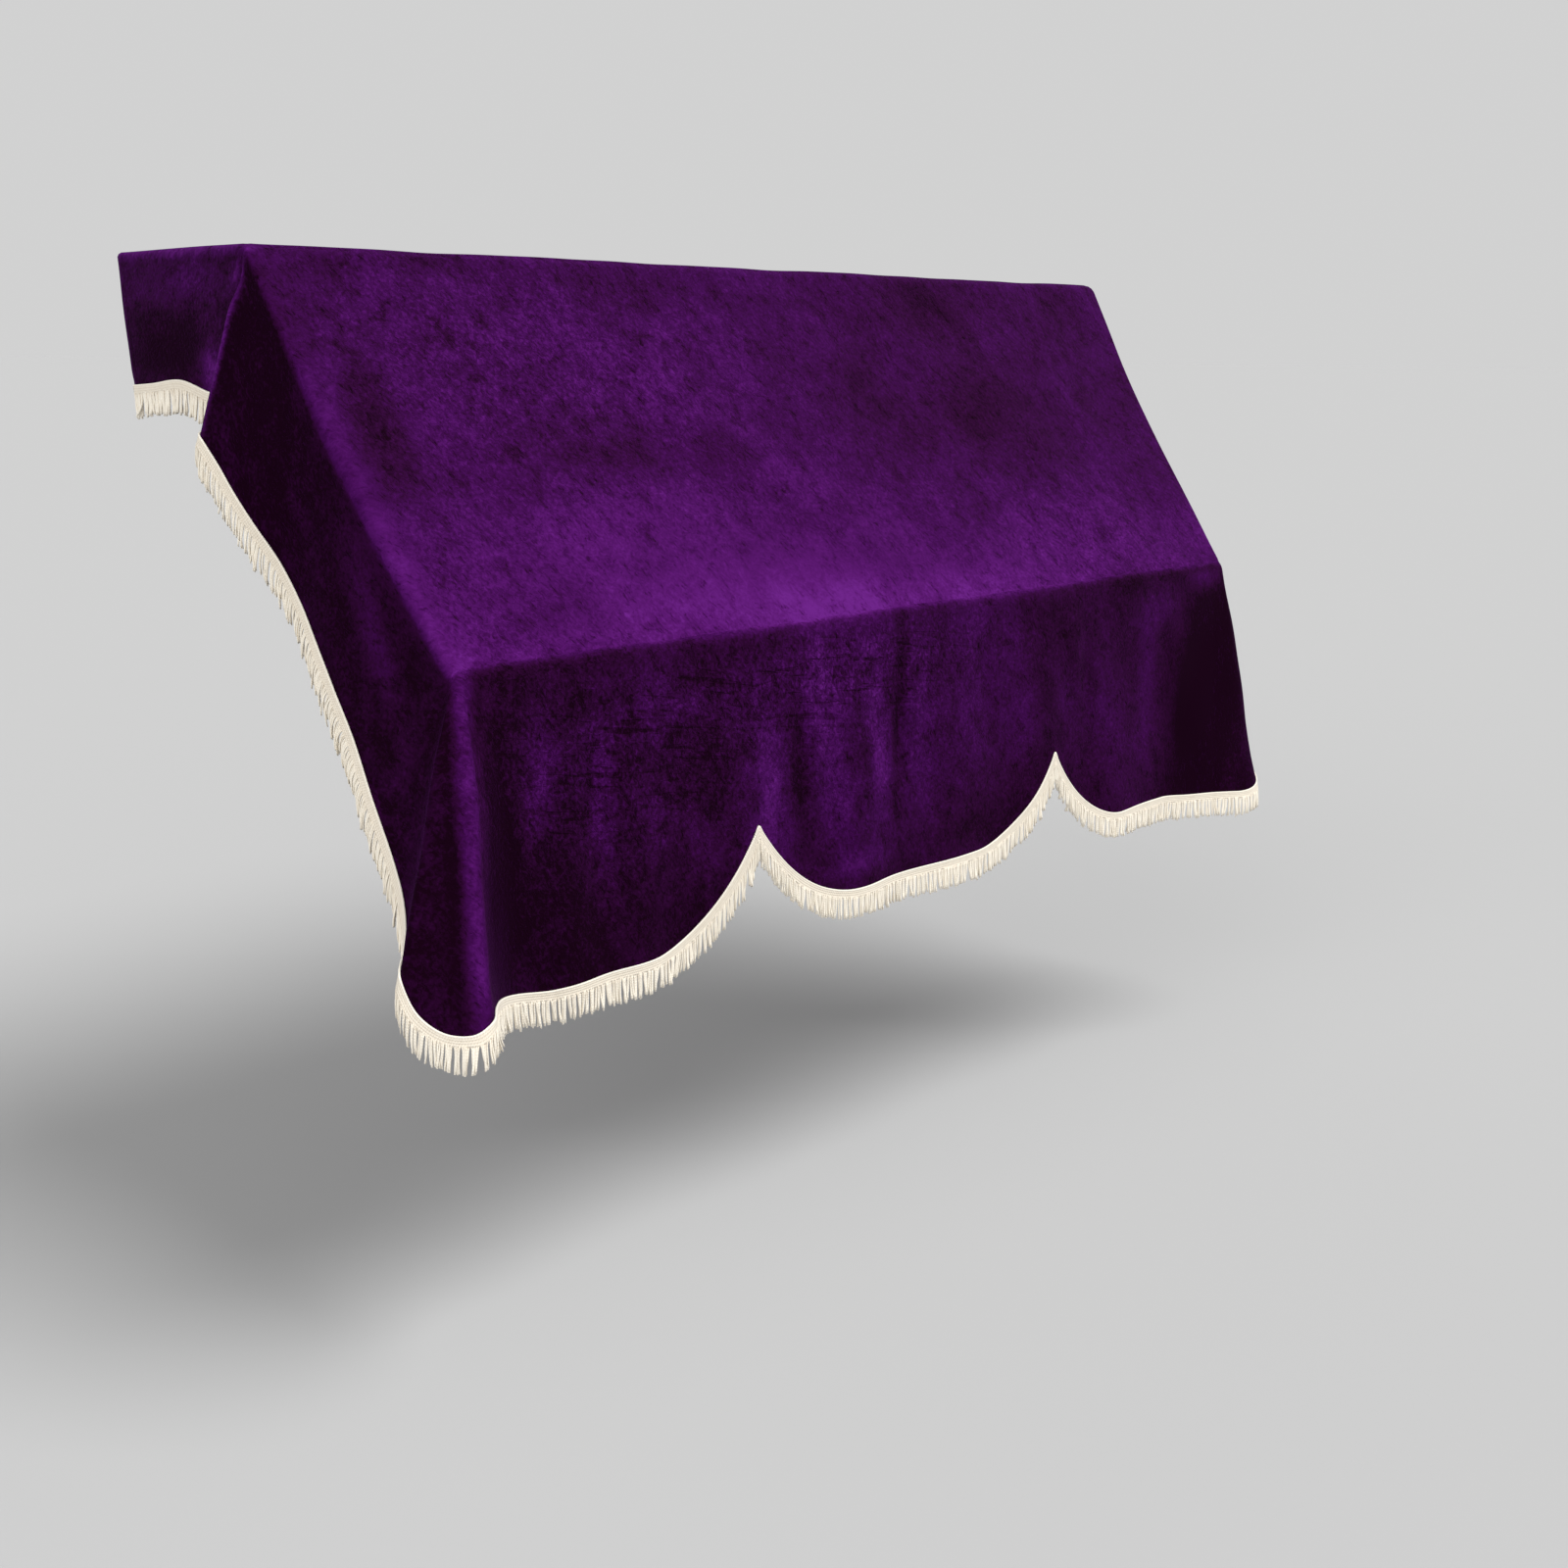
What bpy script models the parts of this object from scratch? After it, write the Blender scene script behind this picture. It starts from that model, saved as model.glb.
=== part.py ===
"""Fitted cover for an upright piano: one draped sheet of velvet with a fringe along three sides.

Metres, +Z up. X runs along the piano, and -Y faces the player. The origin is under the middle of the
panel that lies on the piano's lid, on the cloth's underside.
"""

import math

import bmesh
import bpy
import numpy as np

# The piano under the cloth: its lid, and the front edge of the shelf under the closed keys.
LID_HALF = 0.7708
LID_DEPTH = 0.314
SHELF_HALF = 0.7282
SLOPE_RUN = 0.312
SLOPE_RISE = 0.441

# The cloth and its trim.
CLOTH_THICK = 0.002
LID_BEND = 0.012
HANG_BEND = 0.010
FREE_BEND = 0.034
SLOPE_SAG = 0.010
BRAID_DEEP = 0.012
STRAND_LONG = 0.031
TRIM_THICK = 0.002
TRIM_GAP = 0.0005
STRAND_DROOP = 0.75

# The front hem: three scallops that meet in two peaks. Drops are below the shelf's edge.
PEAKS = (-0.313, 0.277)
PEAK_DROP = 0.232
SCALLOP_REACH = 0.170
SCALLOPS = (
    # from x, to x, drop of its flat bottom
    (-0.80, -0.313, 0.360),
    (-0.313, 0.277, 0.346),
    (0.277, 0.80, 0.350),
)

# Soft upright folds in the front drop: where, how wide, and how far they stand out at the hem.
FRONT_FOLDS = (
    # x, half width, stands out
    (-0.600, 0.050, 0.013),
    (-0.500, 0.045, 0.010),
    (-0.345, 0.060, 0.006),
    (-0.130, 0.050, 0.013),
    (0.060, 0.070, 0.007),
    (0.235, 0.050, 0.009),
    (0.430, 0.060, 0.010),
)

# Each row is one line of cloth, from the edge it hangs over down to the top of the braid.
# from: distance along the edge, where the line starts. out, fore and drop: where it ends, away from the
# piano's side, towards the player and down, counted from the corner that the table is named after.
LEFT_FLAP = (
    # from the lid's back corner
    (0.000, 0.006, 0.038, 0.156),
    (0.070, 0.009, 0.096, 0.153),
    (0.150, 0.008, 0.165, 0.148),
    (0.230, 0.006, 0.228, 0.160),
    (0.290, 0.005, 0.268, 0.163),
)
LEFT_PLEAT = (
    # from the lid's front corner
    (0.000, 0.004, -0.022, 0.163),
    (0.000, 0.004, -0.004, 0.165),
    (0.000, 0.012, 0.004, 0.168),
    (0.000, 0.021, -0.004, 0.175),
    (0.000, 0.028, -0.026, 0.188),
    (0.000, 0.034, -0.040, 0.197),
    (0.000, 0.042, -0.041, 0.203),
    (0.000, 0.045, -0.030, 0.211),
    (0.030, 0.037, -0.012, 0.239),
    (0.085, 0.030, 0.006, 0.268),
    (0.150, 0.020, 0.028, 0.301),
    (0.225, 0.006, 0.055, 0.341),
    (0.300, 0.000, 0.085, 0.384),
    (0.370, 0.000, 0.116, 0.428),
    (0.450, 0.001, 0.149, 0.473),
)
LEFT_CORNER = (
    # from the shelf's front corner
    (-0.012, 0.044, -0.128, 0.080),
    (-0.010, 0.050, -0.086, 0.136),
    (-0.010, 0.053, -0.045, 0.194),
    (-0.009, 0.060, -0.016, 0.233),
    (-0.007, 0.076, 0.010, 0.265),
    (-0.004, 0.098, 0.032, 0.291),
    (-0.002, 0.096, 0.052, 0.323),
    (0.001, 0.084, 0.082, 0.341),
    (0.004, 0.066, 0.110, 0.341),
    (0.008, 0.046, 0.112, 0.331),
    (0.012, 0.022, 0.083, 0.330),
    (0.026, -0.010, 0.048, 0.339),
    (0.055, -0.050, 0.022, 0.351),
)
RIGHT_FLAP = (
    # from the lid's back corner
    (0.000, 0.008, 0.026, 0.160),
    (0.070, 0.012, 0.090, 0.156),
    (0.150, 0.008, 0.160, 0.155),
    (0.230, 0.006, 0.226, 0.160),
    (0.290, 0.005, 0.270, 0.164),
)
RIGHT_PLEAT = (
    # from the lid's front corner
    (0.000, 0.004, -0.024, 0.165),
    (0.000, 0.004, -0.008, 0.167),
    (0.000, 0.012, 0.000, 0.170),
    (0.000, 0.021, -0.008, 0.177),
    (0.000, 0.030, -0.028, 0.189),
    (0.000, 0.038, -0.044, 0.200),
    (0.000, 0.048, -0.046, 0.208),
    (0.000, 0.053, -0.034, 0.217),
    (0.030, 0.044, -0.010, 0.243),
    (0.085, 0.036, 0.010, 0.270),
    (0.150, 0.024, 0.032, 0.303),
    (0.225, 0.010, 0.060, 0.343),
    (0.300, 0.004, 0.088, 0.386),
    (0.370, 0.006, 0.118, 0.430),
    (0.450, 0.003, 0.150, 0.475),
)
RIGHT_CORNER = (
    # from the shelf's front corner
    (-0.012, 0.030, -0.126, 0.082),
    (-0.010, 0.030, -0.086, 0.138),
    (-0.010, 0.029, -0.046, 0.195),
    (-0.009, 0.030, -0.016, 0.234),
    (-0.007, 0.034, 0.006, 0.268),
    (-0.004, 0.042, 0.024, 0.298),
    (-0.002, 0.048, 0.042, 0.330),
    (0.001, 0.044, 0.054, 0.348),
    (0.004, 0.026, 0.059, 0.357),
    (0.008, 0.002, 0.055, 0.360),
    (0.012, -0.026, 0.047, 0.358),
    (0.026, -0.058, 0.036, 0.356),
    (0.090, -0.105, 0.022, 0.354),
)

# The front drop stands off the shelf a little, and its formula takes over from the corner tables here.
FRONT_STAND = 0.010
FRONT_JOINS = (0.100, 0.160)

# How finely the sheet is divided: shares of the way down a line, lines from one table row to the next, and
# lines across the front.
SHARES_DOWN = (0.0, 0.33, 0.67, 1.0)
LINES_PER_ROW = 2
FRONT_LINES = 24

# A pleat opens out where it starts, over this share of its length and this far either way along the edge.
PLEAT_OPENS = 0.50
PLEAT_BACK = 0.03
PLEAT_AHEAD = 0.16

VELVET = ("velvet", (0.045, 0.006, 0.09, 1.0), 0.85)
CREAM = ("cream fringe", (0.80, 0.73, 0.55, 1.0), 0.9)


def clear_scene():
    """Remove every object, so that the model is built from nothing."""
    for item in list(bpy.data.objects):
        bpy.data.objects.remove(item, do_unlink=True)


def rounded(past, bend):
    """How far a path that turns a corner has gone along its first line, and then along its second.

    past is the distance past the corner. Within the bend the path is a parabola; beyond it, the two lines.
    """
    ease = np.clip(past + bend, 0, 2 * bend) ** 2 / (4 * bend)
    second = np.where(past > bend, past, ease)
    return past - second, second


def smooth_rows(rows, count):
    """A smooth curve through every row, with count steps from each row to the next (Catmull-Rom)."""
    rows = np.asarray(rows, float)
    padded = np.vstack([2 * rows[0] - rows[1], rows, 2 * rows[-1] - rows[-2]])
    at = np.arange((len(rows) - 1) * count + 1) / count
    step = np.minimum(at.astype(int), len(rows) - 2)
    t = (at - step)[:, None]
    a, b, c, d = (padded[step + k] for k in range(4))
    return 0.5 * (2 * b + (c - a) * t + (2 * a - 5 * b + 4 * c - d) * t**2 + (3 * b - a - 3 * c + d) * t**3)


SLOPE_LONG = math.hypot(SLOPE_RUN, SLOPE_RISE)
SHELF_AT = LID_DEPTH + SLOPE_LONG
DOWN_SLOPE = np.array([0, -SLOPE_RUN, -SLOPE_RISE]) / SLOPE_LONG
UNDER_SLOPE = np.array([0, SLOPE_RISE, -SLOPE_RUN]) / SLOPE_LONG


def panel_line(along):
    """The lid and slope panels in section: a point at each distance from the back edge, with x left 0."""
    on_lid, on_slope = rounded(along - LID_DEPTH, LID_BEND)
    share = np.clip(on_slope / SLOPE_LONG, 0, 1)
    points = np.outer(on_slope, DOWN_SLOPE) + np.outer(SLOPE_SAG * 4 * share * (1 - share), UNDER_SLOPE)
    points[:, 1] -= LID_DEPTH / 2 + on_lid
    return points, LID_HALF + (SHELF_HALF - LID_HALF) * share, share


def edge_lines(place, side):
    """Where the lines of cloth leave the top panels: inner start, direction outwards, and size of bend.

    place runs from the lid's back corner along the side, round the shelf's corner, and on along the front.
    """
    along = np.minimum(place, SHELF_AT - HANG_BEND)
    start, half, share = panel_line(along)
    bend = HANG_BEND + (FREE_BEND - HANG_BEND) * 4 * share * (1 - share) * (place < SHELF_AT - HANG_BEND)
    front = np.maximum(place - SHELF_AT - HANG_BEND, 0)
    start[:, 0] = side * (half - bend - front)
    turn = np.clip((place - SHELF_AT + HANG_BEND) / (2 * HANG_BEND), 0, 1) * math.pi / 2
    outward = np.outer(np.cos(turn), [side, 0, 0]) + np.outer(np.sin(turn), DOWN_SLOPE)
    return start, outward, bend


def front_ends(x):
    """The ends of the front's lines of cloth: scallops between the peaks, on soft upright folds."""
    inside = [x <= to_x for from_x, to_x, drop in SCALLOPS]
    flat = np.select(inside, [drop for from_x, to_x, drop in SCALLOPS])
    near_peak = np.min([abs(x - peak) for peak in PEAKS], axis=0)
    rise = np.clip(1 - near_peak / SCALLOP_REACH, 0, 1) ** 2
    drop = flat - (flat - PEAK_DROP) * rise
    folds = sum(out * np.exp(-(((x - at) / wide) ** 2)) for at, wide, out in FRONT_FOLDS)
    shelf_y, shelf_z = -LID_DEPTH / 2 - SLOPE_RUN, -SLOPE_RISE
    return np.stack([x, shelf_y - FRONT_STAND - folds, shelf_z - drop], axis=1)


def side_lines(side, tables, join):
    """The lines of cloth of one side, from the back edge round to the front: place, end and plain end.

    The plain end is where a line would end with its pleat shaken out. Near the lid's corner the cloth
    follows it, because a pleat opens where it starts.
    """
    corners = (
        (0.0, (LID_HALF, LID_DEPTH / 2, 0.0)),
        (LID_DEPTH, (LID_HALF, -LID_DEPTH / 2, 0.0)),
        (SHELF_AT, (SHELF_HALF, -LID_DEPTH / 2 - SLOPE_RUN, -SLOPE_RISE)),
    )
    rows = [
        (start + place, side * (x + out), y - fore, z - drop)
        for (start, (x, y, z)), table in zip(corners, tables)
        for place, out, fore, drop in table
    ]
    rows.append((SHELF_AT + join, *front_ends(np.array([side * (SHELF_HALF - join)]))[0]))
    ends = smooth_rows([row[1:] for row in rows], LINES_PER_ROW)
    place = np.interp(np.arange(len(ends)) / LINES_PER_ROW, np.arange(len(rows)), [row[0] for row in rows])
    pleated = np.flatnonzero((place > LID_DEPTH - PLEAT_BACK) & (place < LID_DEPTH + PLEAT_AHEAD))
    plain = ends.copy()
    plain[pleated] = np.linspace(ends[pleated[0]], ends[pleated[-1]], len(pleated))
    return place, ends, plain


def front_places():
    """Where the front's own lines start: spread evenly between the joins and the peaks, joins left out."""
    stops = (FRONT_JOINS[0] - SHELF_HALF, *PEAKS, SHELF_HALF - FRONT_JOINS[1])
    whole = stops[-1] - stops[0]
    runs = [
        np.linspace(a, b, round(FRONT_LINES * (b - a) / whole), endpoint=False)
        for a, b in zip(stops, stops[1:])
    ]
    return np.concatenate(runs)[1:]


def hang_lines():
    """Every line of cloth from the back left round to the back right.

    Gives, for each, its inner start, direction outwards, bend, end and plain end.
    """
    sides = []
    for side, tables, join in (
        (-1, (LEFT_FLAP, LEFT_PLEAT, LEFT_CORNER), FRONT_JOINS[0]),
        (1, (RIGHT_FLAP, RIGHT_PLEAT, RIGHT_CORNER), FRONT_JOINS[1]),
    ):
        place, ends, plain = side_lines(side, tables, join)
        sides.append((*edge_lines(place, side), ends, plain))
    x = front_places()
    start, outward, bend = edge_lines(SHELF_AT + SHELF_HALF - abs(x), 1)
    start[:, 0] = x
    ends = front_ends(x)
    left, right = sides
    return [
        np.concatenate([a, b, c[::-1]]) for a, b, c in zip(left, (start, outward, bend, ends, ends), right)
    ]


def along_lines(lines, share, past=0.0):
    """One point on every line: a share of the way from its bend to its end, or a length past its end."""
    start, outward, bend, ends, plain = lines
    edge = start + bend[:, None] * outward
    opened = np.clip(share / PLEAT_OPENS, 0, 1)
    target = plain + (ends - plain) * opened * opened * (3 - 2 * opened)
    reach = np.linalg.norm(target - edge, axis=1)
    first, second = rounded(bend + share * (reach - bend) + past, bend)
    return edge + first[:, None] * outward + (second / reach)[:, None] * (target - edge)


def braid_depth(lines):
    """How far past its end each line reaches the cut edge: further where the hem runs steeply."""
    start, outward, bend, ends, plain = lines
    down = ends - start
    down /= np.linalg.norm(down, axis=1)[:, None]
    ahead = np.diff(ends, axis=0, append=2 * ends[-1:] - ends[-2:-1])
    ahead /= np.linalg.norm(ahead, axis=1)[:, None]
    across = np.linalg.norm(np.cross(ahead, down), axis=1)
    return BRAID_DEEP / np.clip(across, 0.62, 1)


def skirt_grid(lines):
    """Points of the hanging cloth, one row per step down: from the flat panels to the cut edge."""
    start, outward, bend, ends, plain = lines
    middle = start + 0.75 * bend[:, None] * outward
    edge = start + bend[:, None] * outward
    down = along_lines(lines, 0.0) - edge
    middle += 0.25 * down
    rows = [start, middle] + [along_lines(lines, share) for share in SHARES_DOWN]
    rows.append(along_lines(lines, 1.0, braid_depth(lines)))
    return np.stack(rows)


def panel_grid(lines):
    """Points of the lid and slope panels, between the inner starts of the lines of cloth."""
    start = lines[0]
    step = np.linalg.norm(np.diff(start, axis=0), axis=1)
    start = start[np.append(True, step > 1e-6)]
    shelf_line = np.flatnonzero(abs(start[:, 2] - start[:, 2].min()) < 1e-6)
    left, right = start[: shelf_line[0] + 1], start[shelf_line[-1] :][::-1]
    front = start[shelf_line[0] : shelf_line[-1] + 1, 0]
    share = ((front - front[0]) / (front[-1] - front[0]))[None, :, None]
    return left[:, None] * (1 - share) + right[:, None] * share


def grid_faces(rows, columns, first=0, skip=()):
    """Quads of a grid of points, column by column, leaving out the columns in skip."""
    return [
        (a, a + columns, a + columns + 1, a + 1)
        for row in range(rows - 1)
        for a in (first + row * columns + column for column in range(columns - 1) if column not in skip)
    ]


def material(name, colour, roughness):
    """A plain cloth finish."""
    finish = bpy.data.materials.new(name)
    finish.use_nodes = True
    shader = finish.node_tree.nodes["Principled BSDF"]
    shader.inputs["Base Color"].default_value = colour
    shader.inputs["Roughness"].default_value = roughness
    shader.inputs["Metallic"].default_value = 0.0
    return finish


def sheet(name, points, faces, thick, finish, fans=()):
    """A closed sheet of even thickness around a surface of points, with doubled points merged.

    Of the points that fans numbers, those nearer than the thickness are merged too.
    """
    mesh = bpy.data.meshes.new(name)
    mesh.from_pydata(points, [], faces)
    shape = bmesh.new()
    shape.from_mesh(mesh)
    shape.verts.ensure_lookup_table()
    bmesh.ops.remove_doubles(shape, verts=[shape.verts[number] for number in fans], dist=thick)
    bmesh.ops.remove_doubles(shape, verts=shape.verts, dist=1e-6)
    bmesh.ops.dissolve_degenerate(shape, edges=shape.edges, dist=1e-6)
    shape.to_mesh(mesh)
    shape.free()
    mesh.shade_smooth()
    mesh.set_sharp_from_angle(angle=math.radians(40))
    mesh.materials.append(material(*finish))
    item = bpy.data.objects.new(name, mesh)
    bpy.context.scene.collection.objects.link(item)
    solid = item.modifiers.new("thickness", "SOLIDIFY")
    solid.thickness = thick
    solid.offset = 0.0
    solid.use_quality_normals = True
    return item


def build_cloth(skirt, panels, pleated):
    """The velvet: the two flat panels with the hanging cloth all round them but for the back.

    The upper ends of a pleat's lines lie closer than the cloth is thick, so they are numbered as fans.
    """
    rows, columns = skirt.shape[:2]
    fans = np.flatnonzero(np.tile(pleated, 3))
    points = np.concatenate([skirt.reshape(-1, 3), panels.reshape(-1, 3)])
    faces = grid_faces(rows, columns) + grid_faces(*panels.shape[:2], first=rows * columns)
    return sheet("cover_cloth", points, faces, CLOTH_THICK, VELVET, fans)


def build_fringe(skirt):
    """The trim: a braid over the cloth's hem, and a comb of strands that hangs below it."""
    hem = skirt[-2:]
    ahead = np.gradient(hem, axis=1)
    down = hem[1] - hem[0]
    out = np.cross(down, ahead)
    out /= np.linalg.norm(out, axis=2)[:, :, None]
    braid = hem + out * (CLOTH_THICK / 2 + TRIM_GAP + TRIM_THICK / 2)
    down /= np.linalg.norm(down, axis=1)[:, None]
    fall = STRAND_DROOP * np.array([0, 0, -1.0]) + (1 - STRAND_DROOP) * down
    tips = braid[1] + STRAND_LONG * fall / np.linalg.norm(fall, axis=1)[:, None]
    columns = skirt.shape[1]
    points = np.concatenate([braid[0], braid[1], tips])
    slits = range(1, columns, 2)
    faces = grid_faces(2, columns) + grid_faces(2, columns, first=columns, skip=slits)
    return sheet("fringe_trim", points, faces, TRIM_THICK, CREAM)


def main():
    """Build the cover and raise it so that the cloth's underside on the lid is at the origin."""
    clear_scene()
    lines = hang_lines()
    skirt, panels = skirt_grid(lines), panel_grid(lines)
    lift = np.array([0, 0, CLOTH_THICK / 2])
    start, outward, bend, ends, plain = lines
    build_cloth(skirt + lift, panels + lift, np.any(ends != plain, axis=1))
    build_fringe(skirt + lift)


main()
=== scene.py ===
# %% [markdown]
# # A fringed velvet cover for an upright piano
#
# The real cover is one sheet of crushed velvet. It lies on the piano's lid, slopes down over the
# closed keys to the front edge of their shelf, and hangs from there and at both sides. A cream
# braid with a fringe of yarn is sewn along its hem. The piano isn't part of the model, so the
# cloth also shows its inside and its back.
#
# The lesson works the cloth out as numpy arrays: lines of cloth leave the flat panels and hang
# down, and every later piece, such as the braid and the yarn, is placed by reading the same lines
# again.

# %% Load the packed frame
import math

import bmesh
import bpy
import numpy as np
from mathutils import Matrix, Vector


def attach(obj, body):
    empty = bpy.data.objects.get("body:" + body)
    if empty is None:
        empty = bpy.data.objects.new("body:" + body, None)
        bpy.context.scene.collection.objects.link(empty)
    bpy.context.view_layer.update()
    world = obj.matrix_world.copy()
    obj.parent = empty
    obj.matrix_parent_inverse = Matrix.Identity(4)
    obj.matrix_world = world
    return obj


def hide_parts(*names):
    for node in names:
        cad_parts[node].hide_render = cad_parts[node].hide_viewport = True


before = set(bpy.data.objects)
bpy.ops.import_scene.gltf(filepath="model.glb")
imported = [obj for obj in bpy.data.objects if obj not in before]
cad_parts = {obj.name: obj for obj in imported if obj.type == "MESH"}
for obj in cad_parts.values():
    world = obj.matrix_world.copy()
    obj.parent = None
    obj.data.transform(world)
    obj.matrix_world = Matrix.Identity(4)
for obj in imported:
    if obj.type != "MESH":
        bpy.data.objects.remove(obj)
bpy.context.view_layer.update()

# %% [markdown]
# ## Camera and light
#
# A camera is a place, a direction and a lens. The direction here is three turns: round the upright
# axis, down from the horizon, and a slight roll. Three turns multiplied as matrices are easier to
# read than the angles that Blender's rotation fields would need.

# %% Camera
CAMERA_AT = (-1.7372, -1.9853, -0.1069)
CAMERA_TURN = math.radians(44.98)
CAMERA_DIP = math.radians(12.50)
CAMERA_ROLL = 0.0081
CAMERA_LENS_MM = 40.49
CAMERA_SHIFT = (-0.0120, -0.0277)


def add_camera():
    """A camera that looks along +Y, turned towards +X, dipped under the horizon and rolled."""
    camera = bpy.data.objects.new("camera", bpy.data.cameras.new("camera"))
    camera.data.lens = CAMERA_LENS_MM
    camera.data.shift_x, camera.data.shift_y = CAMERA_SHIFT
    turn = Matrix.Rotation(-CAMERA_TURN, 4, "Z")
    dip = Matrix.Rotation(math.pi / 2 - CAMERA_DIP, 4, "X")
    roll = Matrix.Rotation(CAMERA_ROLL, 4, "Z")
    camera.matrix_world = Matrix.Translation(CAMERA_AT) @ turn @ dip @ roll
    bpy.context.scene.collection.objects.link(camera)
    bpy.context.scene.camera = camera


add_camera()
print("camera at", CAMERA_AT, "with a lens of", CAMERA_LENS_MM, "mm")

# %% [markdown]
# Velvet is dark where it faces away from the light and glows where it faces it. The strongest light
# comes from high above, a little in front and to the right, and makes the slope the lightest face.
# A weaker one, low on the left, lights the fringe there. Both are sun lamps with a wide disc, so
# that their shadows are soft and the floor is lit evenly. The pale world fills what is left.

# %% Lights
KEY_FROM = (0.36, -0.42, 0.83)
KEY_STRENGTH = 2.95
KEY_DISC = math.radians(38)
FILL_FROM = (-0.85, -0.30, 0.25)
FILL_STRENGTH = 1.8
FILL_DISC = math.radians(70)
WORLD_COLOUR = (1.0, 1.0, 1.0, 1.0)
WORLD_STRENGTH = 0.64


def add_sun(name, shines_from, strength, disc):
    """A sun lamp that shines from a direction. It shines along its -Z, so its Z is turned there."""
    lamp = bpy.data.objects.new(name, bpy.data.lights.new(name, "SUN"))
    lamp.data.energy = strength
    lamp.data.angle = disc
    lamp.rotation_euler = Vector(shines_from).to_track_quat("Z", "Y").to_euler()
    bpy.context.scene.collection.objects.link(lamp)


def add_world():
    """A world of one pale colour, seen by a camera whose picture keeps its colours as they are."""
    world = bpy.data.worlds.new("studio")
    world.use_nodes = True
    background = world.node_tree.nodes["Background"]
    background.inputs["Color"].default_value = WORLD_COLOUR
    background.inputs["Strength"].default_value = WORLD_STRENGTH
    bpy.context.scene.world = world
    bpy.context.scene.view_settings.view_transform = "Standard"


add_sun("key", KEY_FROM, KEY_STRENGTH, KEY_DISC)
add_sun("fill", FILL_FROM, FILL_STRENGTH, FILL_DISC)
add_world()
print("key light from", KEY_FROM, "and fill light from", FILL_FROM)

# %% [markdown]
# ## Writing finishes as expressions
#
# A finish is a tree of nodes, and a sum of two textures is a node too. The first class below wraps
# one output socket, so that Python's own signs add those nodes: `1 - mask * 0.3` reads like the
# formula that it is. Every other node comes from one method of the second class, which takes its
# type, its settings and what goes into its sockets.


# %% Wire
class Wire:
    """One output socket of a finish. Signs between wires and numbers add the Math nodes."""

    def __init__(self, finish, socket):
        self.finish = finish
        self.socket = socket

    def math(self, operation, *terms):
        """A Math node with this operation on the terms."""
        return self.finish.node("ShaderNodeMath", {"operation": operation}, dict(enumerate(terms)))

    def __add__(self, other):
        return self.math("ADD", self, other)

    def __sub__(self, other):
        return self.math("SUBTRACT", self, other)

    def __rsub__(self, other):
        return self.math("SUBTRACT", other, self)

    def __mul__(self, other):
        return self.math("MULTIPLY", self, other)

    # a sum and a product are the same either way round
    __radd__ = __add__
    __rmul__ = __mul__

    def ribs(self, pitch):
        """A sine wave from 0 to 1 that repeats at each pitch."""
        return self.math("SINE", self * (2 * math.pi / pitch)) * 0.5 + 0.5

    def wrapped(self, length):
        """This wire, starting again from 0 at each length."""
        return self.math("FLOORED_MODULO", self, length)

    def step(self, low, high):
        """0 below low, 1 above high, and a smooth rise between. High below low turns it round."""
        return self.finish.node(
            "ShaderNodeMapRange",
            {"interpolation_type": "SMOOTHSTEP"},
            {"Value": self, "From Min": low, "From Max": high},
        )


print("a wire has these methods:", ", ".join(name for name in vars(Wire) if name[0] != "_"))


# %% Finish
def set_stops(made, stops):
    """Give a new colour ramp, which has two stops, more of them: places from 0 to 1 and colours."""
    for _ in stops[2:]:
        made.color_ramp.elements.new(0.5)
    for element, (place, colour) in zip(made.color_ramp.elements, stops):
        element.position = place
        element.color = colour


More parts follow.
